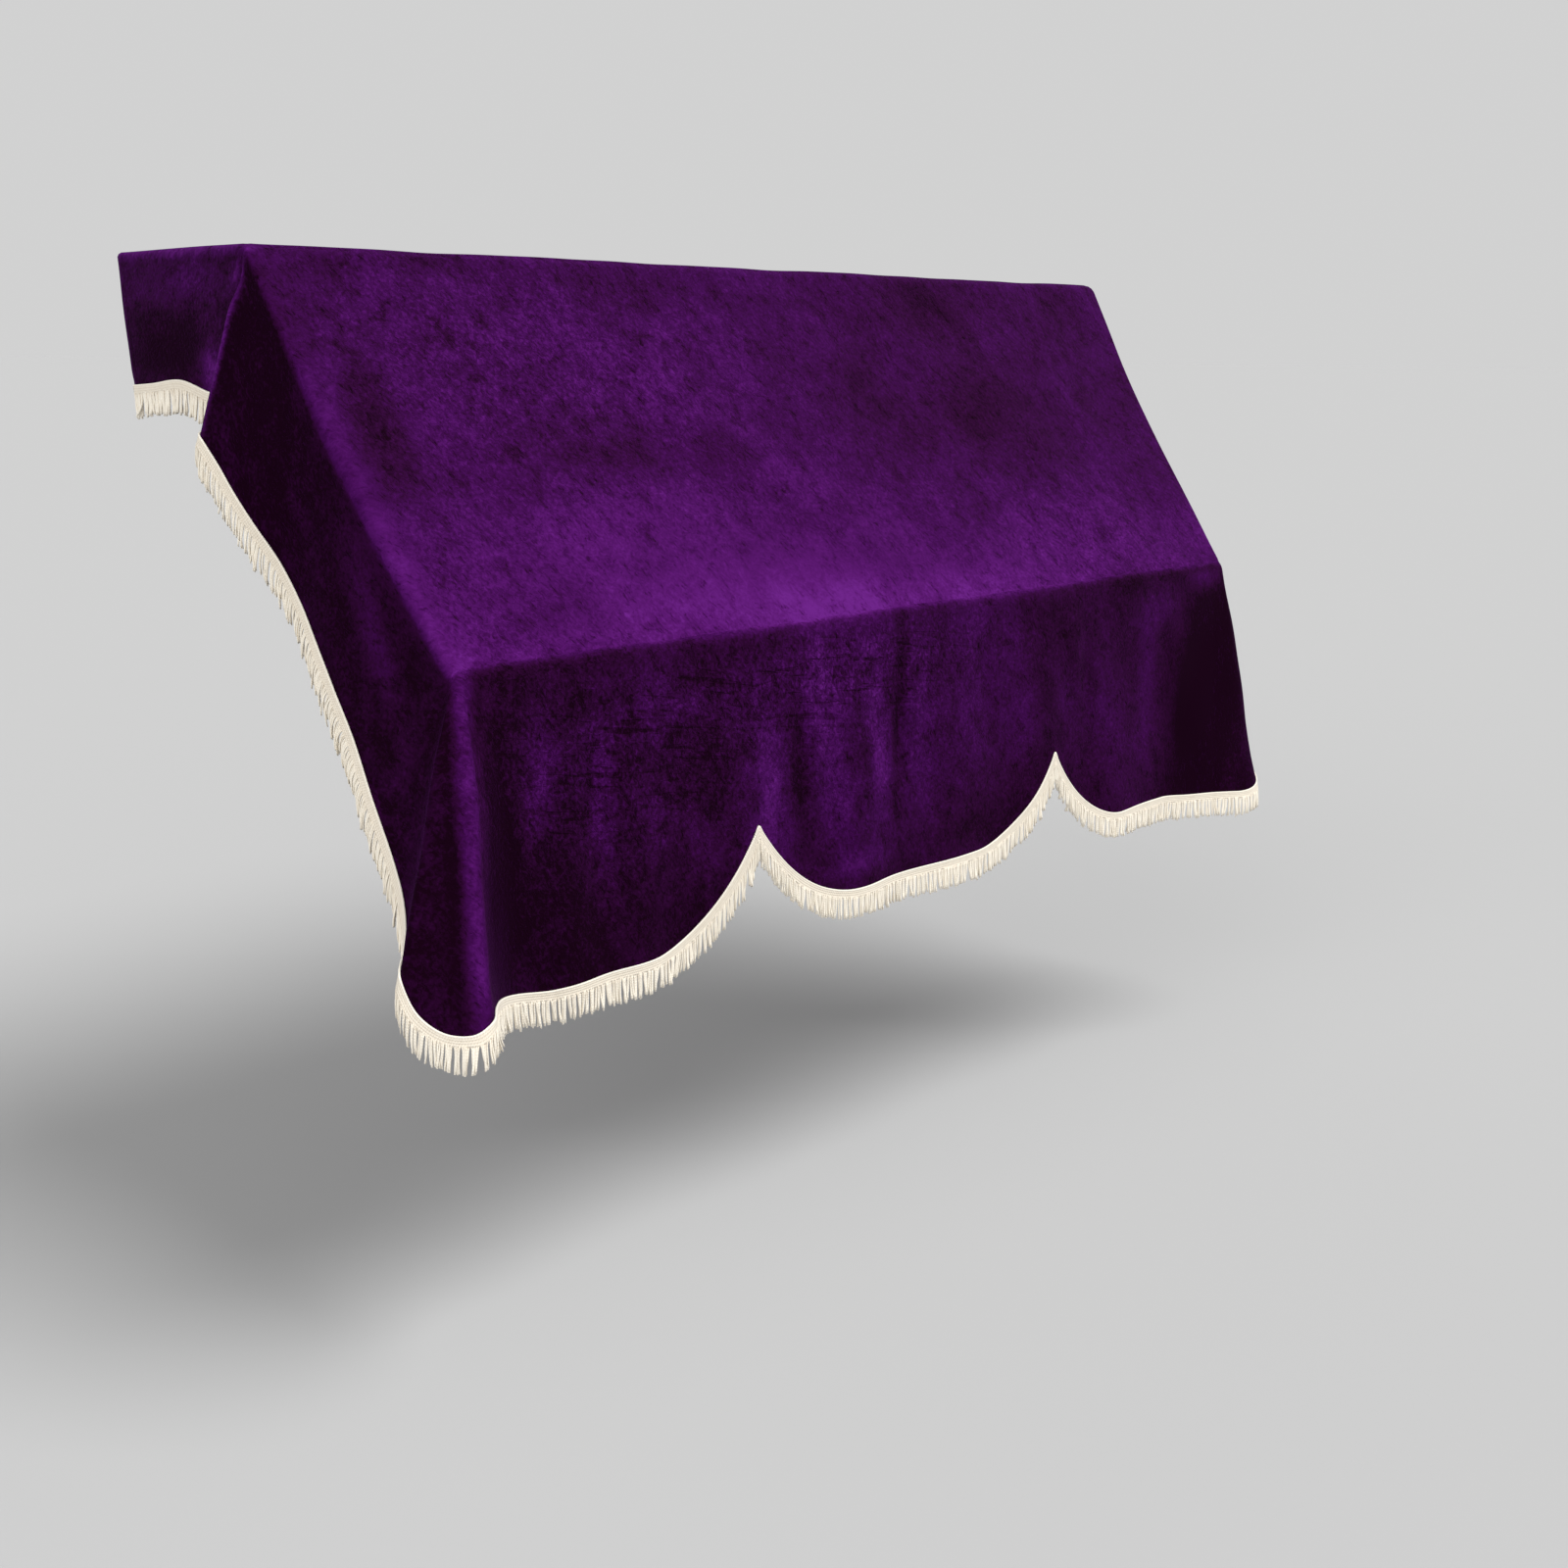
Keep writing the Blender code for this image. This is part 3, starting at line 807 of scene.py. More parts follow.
# %% Table of creases
CREASES = (
    # u, v on the flat sheet, turned by degrees from across to down, half length, half width, height
    (-0.060, 0.740, 65, 0.045, 0.007, -0.0016),
    (-0.040, 0.735, 65, 0.050, 0.010, 0.0012),
    (0.440, 0.760, 40, 0.070, 0.008, -0.0018),
    (0.465, 0.770, 42, 0.075, 0.010, 0.0018),
    (0.500, 0.800, 40, 0.060, 0.008, -0.0016),
    (0.530, 0.800, 42, 0.060, 0.009, 0.0014),
    (-0.570, 0.520, 2, 0.030, 0.006, 0.0012),
    (-0.545, 0.330, 60, 0.022, 0.006, 0.0014),
    (-0.300, 0.560, 75, 0.160, 0.050, -0.0030),
    (0.120, 0.600, 100, 0.180, 0.060, -0.0030),
    (-0.060, 0.640, 85, 0.160, 0.055, 0.0030),
    (0.420, 0.560, 70, 0.150, 0.050, 0.0026),
    (0.640, 0.640, 96, 0.150, 0.040, -0.0030),
    (-0.620, 0.640, 82, 0.150, 0.040, -0.0024),
    (-0.667, 0.980, 88, 0.120, 0.014, 0.0022),
    (-0.440, 0.970, 50, 0.060, 0.009, 0.0016),
    (-0.415, 0.985, 50, 0.060, 0.009, -0.0014),
    (-0.625, 0.990, 35, 0.030, 0.008, 0.0014),
    (-0.560, 1.060, 92, 0.160, 0.016, -0.0030),
    (-0.230, 1.020, 88, 0.070, 0.010, -0.0028),
    (-0.207, 1.030, 88, 0.080, 0.014, 0.0022),
    (-0.046, 1.000, 90, 0.090, 0.010, -0.0032),
    (-0.020, 1.000, 90, 0.100, 0.016, 0.0020),
    (-0.145, 1.130, 60, 0.024, 0.012, 0.0028),
    (0.130, 0.990, 84, 0.100, 0.016, -0.0022),
    (0.330, 0.960, 80, 0.080, 0.014, 0.0020),
    (0.360, 1.000, 86, 0.100, 0.012, -0.0020),
    (0.560, 0.960, 72, 0.080, 0.012, -0.0020),
)
WAVES = (
    # waves per metre across, waves per metre down, shift, height
    (1.9, 2.7, 0.4, 0.0012),
    (3.7, -2.3, 1.9, 0.0009),
    (-5.3, 4.9, 2.7, 0.0006),
    (8.9, 6.1, 4.0, 0.0004),
)
print(len(CREASES), "creases and", len(WAVES), "waves")

# %% Height of the creases
# what is left of them on the lid, and how far before and behind the lid's front edge they fade
LID_KEEPS = 0.25
LID_FADE = 0.03
PLEAT_MIDDLE = 0.365
PLEAT_WIDE = 0.080
PLEAT_FADE = 0.02
HEM_FADE = 0.12


def crease_height(flat, hem_share):
    """Height of the creases and of a faint unevenness: bell curves and slow waves, added up.

    What lies on the lid is pressed flatter, so only a small share is left behind the lid's front
    edge. All of it fades out at the hem, which the braid holds smooth, and in the pleats, whose
    layers lie too close for it.
    """
    u, v = flat[:, 0], flat[:, 1]
    height = bells(flat, CREASES) + sum(
        tall * np.sin(2 * math.pi * (a * u + b * v) + shift) for a, b, shift, tall in WAVES
    )
    on_lid = smooth(v, LID_DEPTH + LID_FADE, LID_DEPTH - LID_FADE) * (abs(u) < LID_HALF)
    in_pleat = np.exp(-(((v - PLEAT_MIDDLE) / PLEAT_WIDE) ** 2))
    in_pleat *= smooth(abs(u), LID_HALF - PLEAT_FADE, LID_HALF)
    height *= (1 - (1 - LID_KEEPS) * on_lid) * (1 - in_pleat)
    return height * smooth(hem_share, 1, 1 - HEM_FADE)


edge_creases = crease_height(lines["flat_start"], np.zeros(len(lines["bend"])))
print("round the edge of the panels they reach", abs(edge_creases).max().round(4), "m")

# %% [markdown]
# ## How the pile lies, and where light and shade are painted
#
# Velvet changes its tone where a hand or a fold has brushed its pile another way. Those places are
# as much a part of its look as its folds are. They are kept in four more tables of the same bell
# curves: three say where the cloth looks lighter or darker, the last where it is more crushed or
# pressed smooth. Besides the pile's own tone, the three hold painted highlights along ridges, a bend
# and the pleat's fold edge, and painted shade in a hollow and in creases. A step of painted shade
# also darkens the front, the sides and the flaps. Each mesh point keeps the two sums, and the finish
# reads them as attributes.

# %% Where the slope looks lighter or darker: its pile, and painted light along its left bend
PILE_AND_LIGHT_SLOPE = (
    # u, v, turned by degrees, half length, half width, lighter or darker
    (-0.320, 0.810, 0, 0.280, 0.085, 0.28),
    (0.050, 0.825, 0, 0.300, 0.070, 0.14),
    (-0.130, 0.785, 0, 0.060, 0.035, -0.10),
    (0.020, 0.775, 0, 0.200, 0.030, -0.08),
    (-0.420, 0.680, 0, 0.260, 0.055, 0.13),
    (-0.600, 0.840, 0, 0.120, 0.030, 0.12),
    (0.460, 0.560, 0, 0.380, 0.280, -0.12),
    (0.380, 0.350, 0, 0.260, 0.045, -0.18),
    (0.710, 0.500, 90, 0.120, 0.040, -0.12),
    (0.710, 0.790, 90, 0.070, 0.060, 0.18),
    (-0.700, 0.500, 90, 0.090, 0.040, -0.06),
    # along the bend between the slope and the left side: a painted highlight on its upper part,
    # darker below
    (-0.736, 0.750, 85.5, 0.130, 0.018, 0.26),
    (-0.745, 0.560, 85.5, 0.070, 0.016, 0.10),
    (-0.755, 0.400, 85.5, 0.080, 0.030, -0.10),
    # more of the slope
    (0.420, 0.780, 0, 0.260, 0.080, 0.10),
    (-0.350, 0.590, 0, 0.150, 0.032, -0.20),
    (-0.690, 0.530, 90, 0.070, 0.030, -0.25),
    (-0.560, 0.325, 0, 0.060, 0.020, -0.20),
    (-0.300, 0.350, 0, 0.200, 0.035, -0.12),
    (-0.620, 0.440, 90, 0.060, 0.045, 0.12),
    (-0.670, 0.380, 85, 0.100, 0.055, -0.14),
    (-0.690, 0.570, 85, 0.070, 0.048, -0.19),
    (-0.380, 0.430, 70, 0.070, 0.050, 0.12),
    (0.180, 0.520, 10, 0.200, 0.090, -0.16),
    (0.300, 0.400, 60, 0.120, 0.070, -0.12),
)
print(len(PILE_AND_LIGHT_SLOPE), "places on the slope")

# %% Where the front looks lighter or darker: its pile, and painted shade and highlights at two creases
PILE_AND_LIGHT_FRONT = (
    # u, v, turned by degrees, half length, half width, lighter or darker
    (-0.130, 0.990, 90, 0.170, 0.130, 0.24),
    (0.200, 1.000, 90, 0.130, 0.060, 0.12),
    (0.720, 1.060, 90, 0.180, 0.060, -0.18),
    (-0.600, 0.900, 0, 0.100, 0.040, 0.06),
    (-0.290, 1.120, 0, 0.060, 0.050, 0.14),
    (-0.150, 1.110, 0, 0.150, 0.060, 0.12),
    (0.020, 0.980, 90, 0.100, 0.040, 0.06),
    (-0.635, 0.985, 96, 0.085, 0.036, 0.40),
    (-0.545, 1.030, 88, 0.110, 0.026, 0.42),
    (-0.450, 0.930, 10, 0.070, 0.035, 0.26),
    (-0.475, 1.060, 80, 0.070, 0.036, 0.36),
    (-0.405, 1.090, 60, 0.060, 0.024, 0.30),
    (-0.300, 1.040, 82, 0.110, 0.040, 0.30),
    (-0.210, 0.990, 84, 0.070, 0.022, 0.18),
    (-0.040, 0.900, 0, 0.120, 0.025, 0.12),
    (-0.130, 1.180, 0, 0.080, 0.020, 0.38),
    (-0.280, 1.050, 90, 0.110, 0.030, 0.22),
    # painted shade in a crease's trough, with its ridge painted lighter in the next row
    (-0.235, 1.040, 84, 0.080, 0.013, -0.24),
    (-0.180, 1.030, 80, 0.130, 0.030, 0.30),
    (-0.120, 1.030, 84, 0.070, 0.010, -0.16),
    (-0.090, 1.040, 86, 0.120, 0.022, 0.24),
    # painted shade in a crease's trough, with its ridge painted lighter in the next row
    (-0.050, 1.010, 92, 0.120, 0.010, -0.34),
    (-0.005, 1.010, 90, 0.160, 0.026, 0.20),
    (0.100, 1.000, 90, 0.160, 0.050, 0.20),
    (0.200, 0.980, 80, 0.120, 0.030, 0.16),
    (0.300, 1.000, 70, 0.060, 0.020, 0.20),
    (0.420, 1.080, 86, 0.110, 0.060, 0.24),
    (0.520, 1.000, 92, 0.140, 0.030, 0.34),
    (0.580, 0.920, 30, 0.060, 0.030, 0.26),
    (0.500, 0.880, 0, 0.050, 0.020, -0.16),
    (0.680, 0.885, 0, 0.050, 0.018, 0.42),
    (0.080, 1.170, 0, 0.090, 0.022, -0.12),
    (-0.620, 1.150, 0, 0.110, 0.045, -0.04),
    (0.690, 1.080, 100, 0.130, 0.062, -0.90),
    (0.220, 1.000, 0, 0.380, 0.250, 0.16),
)
print(len(PILE_AND_LIGHT_FRONT), "places on the front")

# %% Where the sides look lighter or darker: their pile, and painted highlights and shade on lobe and pleat
PILE_AND_LIGHT_SIDES = (
    # u, v, turned by degrees, half length, half width, lighter or darker
    # on the lobe at the left corner: a painted highlight along its ridge, painted shade in the hollow
    # beside it
    (-0.824, 1.170, 105, 0.070, 0.018, 0.30),
    (-0.783, 1.040, 110, 0.200, 0.014, 0.50),
    (-0.768, 1.060, 110, 0.160, 0.020, 0.16),
    (-0.804, 1.040, 110, 0.160, 0.008, -0.22),
    (-0.738, 0.905, 110, 0.040, 0.010, 0.28),
    (-0.700, 1.090, 104, 0.150, 0.034, -0.36),
    (-0.860, 1.150, 105, 0.080, 0.030, 0.06),
    # on the left side: painted highlights along the pleat's fold edge, and on the flap near the lid
    # and beside the pleat
    (-0.870, 0.365, 156, 0.104, 0.0060, 0.92),
    (-0.790, 0.298, 38, 0.020, 0.006, 0.45),
    (-0.800, 0.200, 90, 0.100, 0.032, 0.36),
    (-0.900, 0.225, 150, 0.040, 0.032, 0.66),
    (-0.810, 0.110, 90, 0.050, 0.030, 0.14),
    (-0.800, 0.040, 90, 0.050, 0.040, 0.12),
    (-0.840, 0.480, 90, 0.130, 0.060, -0.10),
    (-0.790, 0.720, 98, 0.100, 0.030, 0.16),
    (-0.860, 0.100, 90, 0.070, 0.040, -0.14),
    (-0.800, 0.020, 90, 0.030, 0.060, 0.08),
    (-0.868, 0.185, 90, 0.040, 0.022, -0.20),
    (-0.895, 0.100, 90, 0.080, 0.026, -0.20),
    (-0.840, 0.560, 96, 0.090, 0.014, 0.12),
    (-0.800, 0.770, 100, 0.100, 0.020, 0.26),
    (-0.880, 0.900, 110, 0.110, 0.014, 0.10),
    # on the right side
    (0.800, 0.160, 90, 0.070, 0.030, 0.24),
    (0.850, 0.520, 84, 0.110, 0.020, 0.20),
    (0.810, 0.800, 78, 0.110, 0.018, 0.20),
)
print(len(PILE_AND_LIGHT_SIDES), "places on the sides")

# %% Where the pile is more or less crushed
CRUSH = (
    # u, v, turned by degrees, half length, half width, more or less crushed
    (-0.480, 0.450, 0, 0.280, 0.140, 0.34),
    (-0.660, 0.760, 90, 0.120, 0.060, 0.16),
    (-0.740, 0.600, 86, 0.300, 0.026, -0.30),
    (-0.180, 0.925, 0, 0.300, 0.048, 0.42),
    (-0.200, 0.790, 0, 0.360, 0.080, -0.30),
    (0.450, 0.780, 30, 0.150, 0.090, 0.20),
    (-0.540, 1.000, 0, 0.220, 0.110, 0.46),
    (-0.820, 1.080, 105, 0.200, 0.060, -0.18),
    (-0.100, 0.980, 0, 0.220, 0.120, 0.25),
    (0.660, 1.060, 100, 0.120, 0.080, -0.50),
    (-0.830, 0.200, 90, 0.150, 0.060, 0.20),
)
print(len(CRUSH), "places where the pile is more or less crushed")

# %% Tone of the pile, less painted shade on the front, the sides and the flaps
# painted shade: how much darker the front, the sides below the slope and the flaps below the lid are
# coloured
FRONT_PAINTED_SHADE = 0.44
SIDES_PAINTED_SHADE = 0.47
FLAPS_PAINTED_SHADE = 0.39
# each step in tone runs from one place to another, measured outwards from an edge of the panels
FRONT_STEP = (-0.002, 0.012)
FRONT_SIDE_STEP = (0.030, 0.010)
SIDE_STEP = (-0.003, 0.007)
FLAP_STEP = (0.0, 0.05)


def pile_and_painted_light(flat):
    """How much lighter or darker the cloth looks: the tables' bells, less painted shade where it
    hangs.

    The front, the sides below the slope and the flaps below the lid each have their own step of it.
    """
    u, v = flat[:, 0], flat[:, 1]
    on_front = smooth(v - SHELF_AT, *FRONT_STEP) * smooth(abs(u) - SHELF_HALF, *FRONT_SIDE_STEP)
    edge = np.interp(v, [LID_DEPTH, SHELF_AT], [LID_HALF, SHELF_HALF])
    below_slope = smooth(v - LID_DEPTH, *FLAP_STEP)
    side = FLAPS_PAINTED_SHADE + (SIDES_PAINTED_SHADE - FLAPS_PAINTED_SHADE) * below_slope
    side = side * smooth(abs(u) - edge, *SIDE_STEP)
    return bells(flat, PILE_AND_LIGHT_SLOPE + PILE_AND_LIGHT_FRONT + PILE_AND_LIGHT_SIDES) - np.maximum(on_front * FRONT_PAINTED_SHADE, side)


tones = pile_and_painted_light(panels_flat.reshape(-1, 2))
print("on the panels the pile's tone changes by", tones.min().round(2), "to", tones.max().round(2))

# %% [markdown]
# ## The velvet
#
# The sheet is one mesh of quads: the grid of hanging cloth and the grid of the panels share the
# points where the lines start. Those doubles are merged. In a pleat the upper ends of many lines
# nearly meet, and they are merged within 0.6 mm, or the sheet would cross itself there. Solidify
# then gives the thickness, which is surer than working out a second surface.


# %% Mesh helpers
def grid_quads(rows, columns, first=0):
    """Corner numbers of the quads of a grid of points, as an array of four columns."""
    at = first + np.arange(rows * columns).reshape(rows, columns)
    return np.stack([at[:-1, :-1], at[1:, :-1], at[1:, 1:], at[:-1, 1:]], axis=-1).reshape(-1, 4)


def set_uv(mesh, name, places):
    """Give a mesh a uv map from one place for each of its points."""
    corner = np.empty(len(mesh.loops), np.int32)
    mesh.loops.foreach_get("vertex_index", corner)
    layer = mesh.uv_layers.new(name=name)
    layer.data.foreach_set("uv", places[corner].astype(np.float32).ravel())


def set_numbers(mesh, name, numbers):
    """Keep one number for each point of a mesh, under a name that its finish can read."""
    kept = mesh.attributes.new(name, "FLOAT", "POINT")
    kept.data.foreach_set("value", numbers.astype(np.float32).ravel())


def read_vectors(data, what):
    """The vectors that some data of a mesh keeps, as an array."""
    vectors = np.empty(len(data) * 3, np.float32)
    data.foreach_get(what, vectors)
    return vectors.reshape(-1, 3).astype(float)


def add_piece(name, mesh, slot, node, *finishes):
    """Put a mesh into the scene as a piece: its finishes, its body and what it stands for."""
    mesh.shade_smooth()
    for finish in finishes:
        mesh.materials.append(finish.material)
    piece = bpy.data.objects.new(name, mesh)
    bpy.context.scene.collection.objects.link(piece)
    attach(piece, "root")
    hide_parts(node)
    return piece


print("a grid of 3 by 2 points has", len(grid_quads(3, 2)), "quads")


# %% Join the two grids
def joined_sheet():
    """Both grids as one mesh. Each point keeps its flat place and its share of the way to the hem."""
    points = np.concatenate([skirt.reshape(-1, 3), panels.reshape(-1, 3)])
    flat = np.concatenate([skirt_flat.reshape(-1, 2), panels_flat.reshape(-1, 2)])
    hanging = skirt[..., 0].size
    hem_share = np.zeros(len(flat))
    hem_share[:hanging] = np.repeat(np.minimum(skirt_gone, 1), skirt.shape[1])
    quads = [grid_quads(*skirt.shape[:2]), grid_quads(*panels.shape[:2], first=hanging)]
    mesh = bpy.data.meshes.new("velvet_cover")
    mesh.from_pydata(points, [], np.concatenate(quads))
    kept = mesh.attributes.new("flat_place", "FLOAT_VECTOR", "POINT")
    kept.data.foreach_set("vector", np.column_stack([flat, hem_share]).astype(np.float32).ravel())
    return mesh


velvet_mesh = joined_sheet()
print("the two grids have", len(velvet_mesh.vertices), "points")

# %% Merge doubles
FAN_MERGE = 0.0006
FAN_ROWS = 6


def merge_doubles(mesh):
    """Merge points at the same place, and in the first rows of a pleat those that nearly meet."""
    in_pleat = np.any(lines["plain"] != lines["end"], axis=1)
    shape = bmesh.new()
    shape.from_mesh(mesh)
    shape.verts.ensure_lookup_table()
    fan = [shape.verts[number] for number in np.flatnonzero(np.tile(in_pleat, FAN_ROWS))]
    bmesh.ops.remove_doubles(shape, verts=fan, dist=FAN_MERGE)
    bmesh.ops.remove_doubles(shape, verts=shape.verts, dist=SAME_PLACE)
    bmesh.ops.dissolve_degenerate(shape, edges=shape.edges, dist=SAME_PLACE)
    shape.to_mesh(mesh)
    shape.free()


merge_doubles(velvet_mesh)
print("merged, the sheet has", len(velvet_mesh.polygons), "faces on one side")

# %% Crease the sheet
CLOTH_THICK = 0.0018


def crease_sheet(mesh):
    """Move every point by the creases' height times its normal, and keep what the finish reads.

    The whole sheet rises by half its thickness, so that its underside lies on the lid.
    """
    places = read_vectors(mesh.attributes["flat_place"].data, "vector")
    mesh.attributes.remove(mesh.attributes["flat_place"])
    flat, hem_share = places[:, :2], places[:, 2]
    height = crease_height(flat, hem_share)[:, None]
    points = read_vectors(mesh.vertices, "co") + read_vectors(mesh.vertices, "normal") * height
    points[:, 2] += CLOTH_THICK / 2
    mesh.vertices.foreach_set("co", points.astype(np.float32).ravel())
    set_uv(mesh, "flat", flat)
    # the pile's tone together with its painted light and shade, then how crushed the pile is
    set_numbers(mesh, "nap", pile_and_painted_light(flat))
    set_numbers(mesh, "crush", bells(flat, CRUSH))


crease_sheet(velvet_mesh)
print("the sheet keeps", [kept.name for kept in velvet_mesh.uv_layers], "and the pile's two sums")

# %% [markdown]
# Crushed velvet is a pile of short fibres that lean in many directions. Where they lean towards the
# light they look bright, and where they lean away they look nearly black. Real fibres would be
# millions of hairs, so the finish works out their tone instead. It adds up noises on the flat cloth:
# wide patches, blotches, the worm-like grain of the crushed pile, short strokes where it was
# brushed, faint crinkles that run across the front, and the fine pile itself. Strokes and crinkles
# are noise that is turned and stretched. A ramp turns the tone into colour. A sheen on the shader
# gives the glow along the turned edges.

# %% Colours of the velvet
VELVET_SHADER = {
    "Specular IOR Level": 0.02,
    "Sheen Weight": 0.15,
    "Sheen Roughness": 0.30,
    "Sheen Tint": (0.40, 0.04, 0.60, 1.0),
}
VELVET_TONES = (
    # tone, colour
    (0.00, (0.0068, 0.0003, 0.0048, 1.0)),
    (0.30, (0.0210, 0.0012, 0.0240, 1.0)),
    (0.55, (0.0355, 0.0019, 0.0530, 1.0)),
    (0.80, (0.0640, 0.0046, 0.1000, 1.0)),
    (1.00, (0.0960, 0.0100, 0.1560, 1.0)),
)
print("velvet tones from", VELVET_TONES[0][1][:3], "to", VELVET_TONES[-1][1][:3])

# %% Noises of the velvet
# noises: waves to the metre, detail, roughness, distortion
PATCHES = (6.5, 3.0, 0.55, 0.7)
FINE_PILE = (1000.0, 2.0, 0.7)
# streaks: turn, waves to the metre along and across it, detail, roughness, distortion
BRUSHED = math.radians(24)
BLOTCHES = (BRUSHED, (52.0, 34.0, 1.0), 4.0, 0.62, 0.5)
GRAIN = (BRUSHED, (210.0, 170.0, 1.0), 3.0, 0.65, 0.7)
STROKES = (BRUSHED, (300.0, 85.0, 1.0), 3.0, 0.6, 0.5)
CRINKLES = (math.radians(-8), (11.0, 130.0, 1.0), 3.0, 0.55, 0.6)
# how much each one adds to the tone
SHARE = {
    "patches": 0.60,
    "blotches": 0.90,
    "grain": 1.60,
    "spots": 0.12,
    "fine pile": 0.20,
    "strokes": 0.26,
    "crinkles": 0.30,
    "hem": 0.35,
}
TONE_MIDDLE = 0.54
CRUSHED_ALL_OVER = 0.55
CRUSH_DEPTH = 0.8
PILE_DEEP = 0.0018
HEM_DEEP = 0.014
HEM_LINE_HALF = 0.0016
STITCH_PITCH = 0.0045
# each step goes from none at its first value to all at its second
STEP = {
    "spots": (0.43, 0.34),
    "strokes": (0.45, 0.35),
    "strokes in blotches": (0.58, 0.40),
    "strokes where crushed": (0.22, 0.34),
    "crinkles": (0.43, 0.36),
    "crinkles past the shelf": (SHELF_AT, SHELF_AT + 0.02),
    "crinkles where crushed": (0.1, 0.6),
    "stitches": (0.30 * STITCH_PITCH, 0.20 * STITCH_PITCH),
}
print("what adds most to the tone:", max(SHARE, key=SHARE.get), "at", max(SHARE.values()))


# %% Velvet finish
def hem_stitches(across, down):
    """The line of the back hem: a groove that is twice as deep at each stitch."""
    groove = down.step(HEM_DEEP - HEM_LINE_HALF, HEM_DEEP)
    groove = groove * down.step(HEM_DEEP + HEM_LINE_HALF, HEM_DEEP)
    stitches = across.wrapped(STITCH_PITCH).step(*STEP["stitches"])
    return groove * (0.5 + stitches * 0.5)


def velvet_finish():
    """The pile side: a tone from the tables and the noises picks the colour, parts of it the relief.

    tone = middle + nap + patches + crush + fine pile - marks. A noise runs from 0 to 1, so a half
    is taken off where it both lightens and darkens. Crush is blotches + grain - spots, times how
    crushed the cloth is there. The marks are strokes, crinkles and the stitched hem, which are dark
    and lie deeper.
    """
    finish = Finish("crushed_velvet", VELVET_SHADER)
    flat = finish.uv("flat")
    across, down = finish.parts(flat)
    crush_sum = finish.attribute("crush")
    crushed = crush_sum + CRUSHED_ALL_OVER
    patches = finish.noise(flat, *PATCHES) - 0.5
    blotches = finish.streaks(flat, *BLOTCHES)
    grain = finish.streaks(flat, *GRAIN) - 0.5
    spots = blotches.step(*STEP["spots"])
    strokes = finish.streaks(flat, *STROKES).step(*STEP["strokes"])
    strokes = strokes * blotches.step(*STEP["strokes in blotches"])
    strokes = strokes * crushed.step(*STEP["strokes where crushed"])
    crinkled = down.step(*STEP["crinkles past the shelf"])
    crinkled = crinkled * crush_sum.step(*STEP["crinkles where crushed"])
    crinkles = finish.streaks(flat, *CRINKLES).step(*STEP["crinkles"]) * crinkled
    fine_pile = finish.noise(flat, *FINE_PILE) - 0.5
    crush = (blotches - 0.5) * SHARE["blotches"] + grain * SHARE["grain"]
    crush = (crush - spots * SHARE["spots"]) * crushed
    marks = strokes * SHARE["strokes"] + crinkles * SHARE["crinkles"]
    marks = marks + hem_stitches(across, down) * SHARE["hem"]
    # this attribute holds the pile's tone together with painted highlights and painted shade
    nap = finish.attribute("nap") + TONE_MIDDLE
    tone = nap + patches * SHARE["patches"] + crush + fine_pile * SHARE["fine pile"] - marks
    finish.use(
        Base_Color=finish.ramp(tone, VELVET_TONES),
        Roughness=0.92 - tone * 0.12,
        Normal=finish.bump(crush * CRUSH_DEPTH - marks, PILE_DEEP),
    )
    return finish


velvet = velvet_finish()
print("the velvet finish has", len(velvet.tree.nodes), "nodes")

# %% [markdown]
# The back of velvet is a plain knitted ground, flatter and duller than the pile. It shows inside the
# cover, since there is no lining. Ribs along the length and courses across it are enough: two sine
# waves, 625 to the metre, over a soft unevenness.

# %% Reverse finish
KNIT_PITCH = 0.0016
KNIT_DEEP = 0.0003
REVERSE_SHADER = {"Specular IOR Level": 0.2, "Sheen Weight": 0.15, "Sheen Roughness": 0.5}
REVERSE_DARK = (0.020, 0.004, 0.030, 1.0)
REVERSE_LIGHT = (0.045, 0.010, 0.066, 1.0)
UNEVEN_GROUND = (18.0, 4.0, 0.6)


def reverse_finish():
    """The inside: knitted ribs in a dull purple, a little uneven."""
    finish = Finish("velvet_back", REVERSE_SHADER)
    flat = finish.uv("flat")
    across, down = finish.parts(flat)
    ribs, courses = across.ribs(KNIT_PITCH), down.ribs(KNIT_PITCH)
    uneven = finish.noise(flat, *UNEVEN_GROUND)
    tone = ribs * 0.25 + courses * 0.15 + uneven * 0.6
    finish.use(
        Base_Color=finish.blend(tone, REVERSE_DARK, REVERSE_LIGHT),
        Roughness=0.92 - uneven * 0.1,
        Normal=finish.bump(ribs * 0.6 + courses * 0.4, KNIT_DEEP),
    )
    return finish


reverse = reverse_finish()
print("the reverse has", round(1 / KNIT_PITCH), "ribs to the metre")

# %% [markdown]
# Solidify puts a second surface behind the first. Its material offset gives the new inner side the
# reverse, and the cut edge keeps the velvet.

# %% The velvet cover
cover = add_piece("velvet_cover", velvet_mesh, "velvet", "cover_cloth", velvet, reverse)
thickness = cover.modifiers.new("thickness", "SOLIDIFY")
thickness.thickness = CLOTH_THICK
thickness.offset = 0.0
thickness.use_quality_normals = True
thickness.thickness_clamp = 1.0
thickness.material_offset = 1
thickness.material_offset_rim = 0
print("velvet cover:", len(velvet_mesh.vertices), "points before it gets its thickness")

# %% [markdown]
# ## The braid
#
# The fringe is bought by the metre: yarns hang from a woven header, and the header is sewn over the
# velvet's edge. It is a flat band, so its section is a flat oval carried along the hem. A curve with
# a bevel would twist at the corners, but two rows of the cloth already say where the band's upper
# and lower edges run. They are read once more, at a finer step, since the band shows its weave.

# %% Lines of the hem
BRAID_STEP = 0.0030


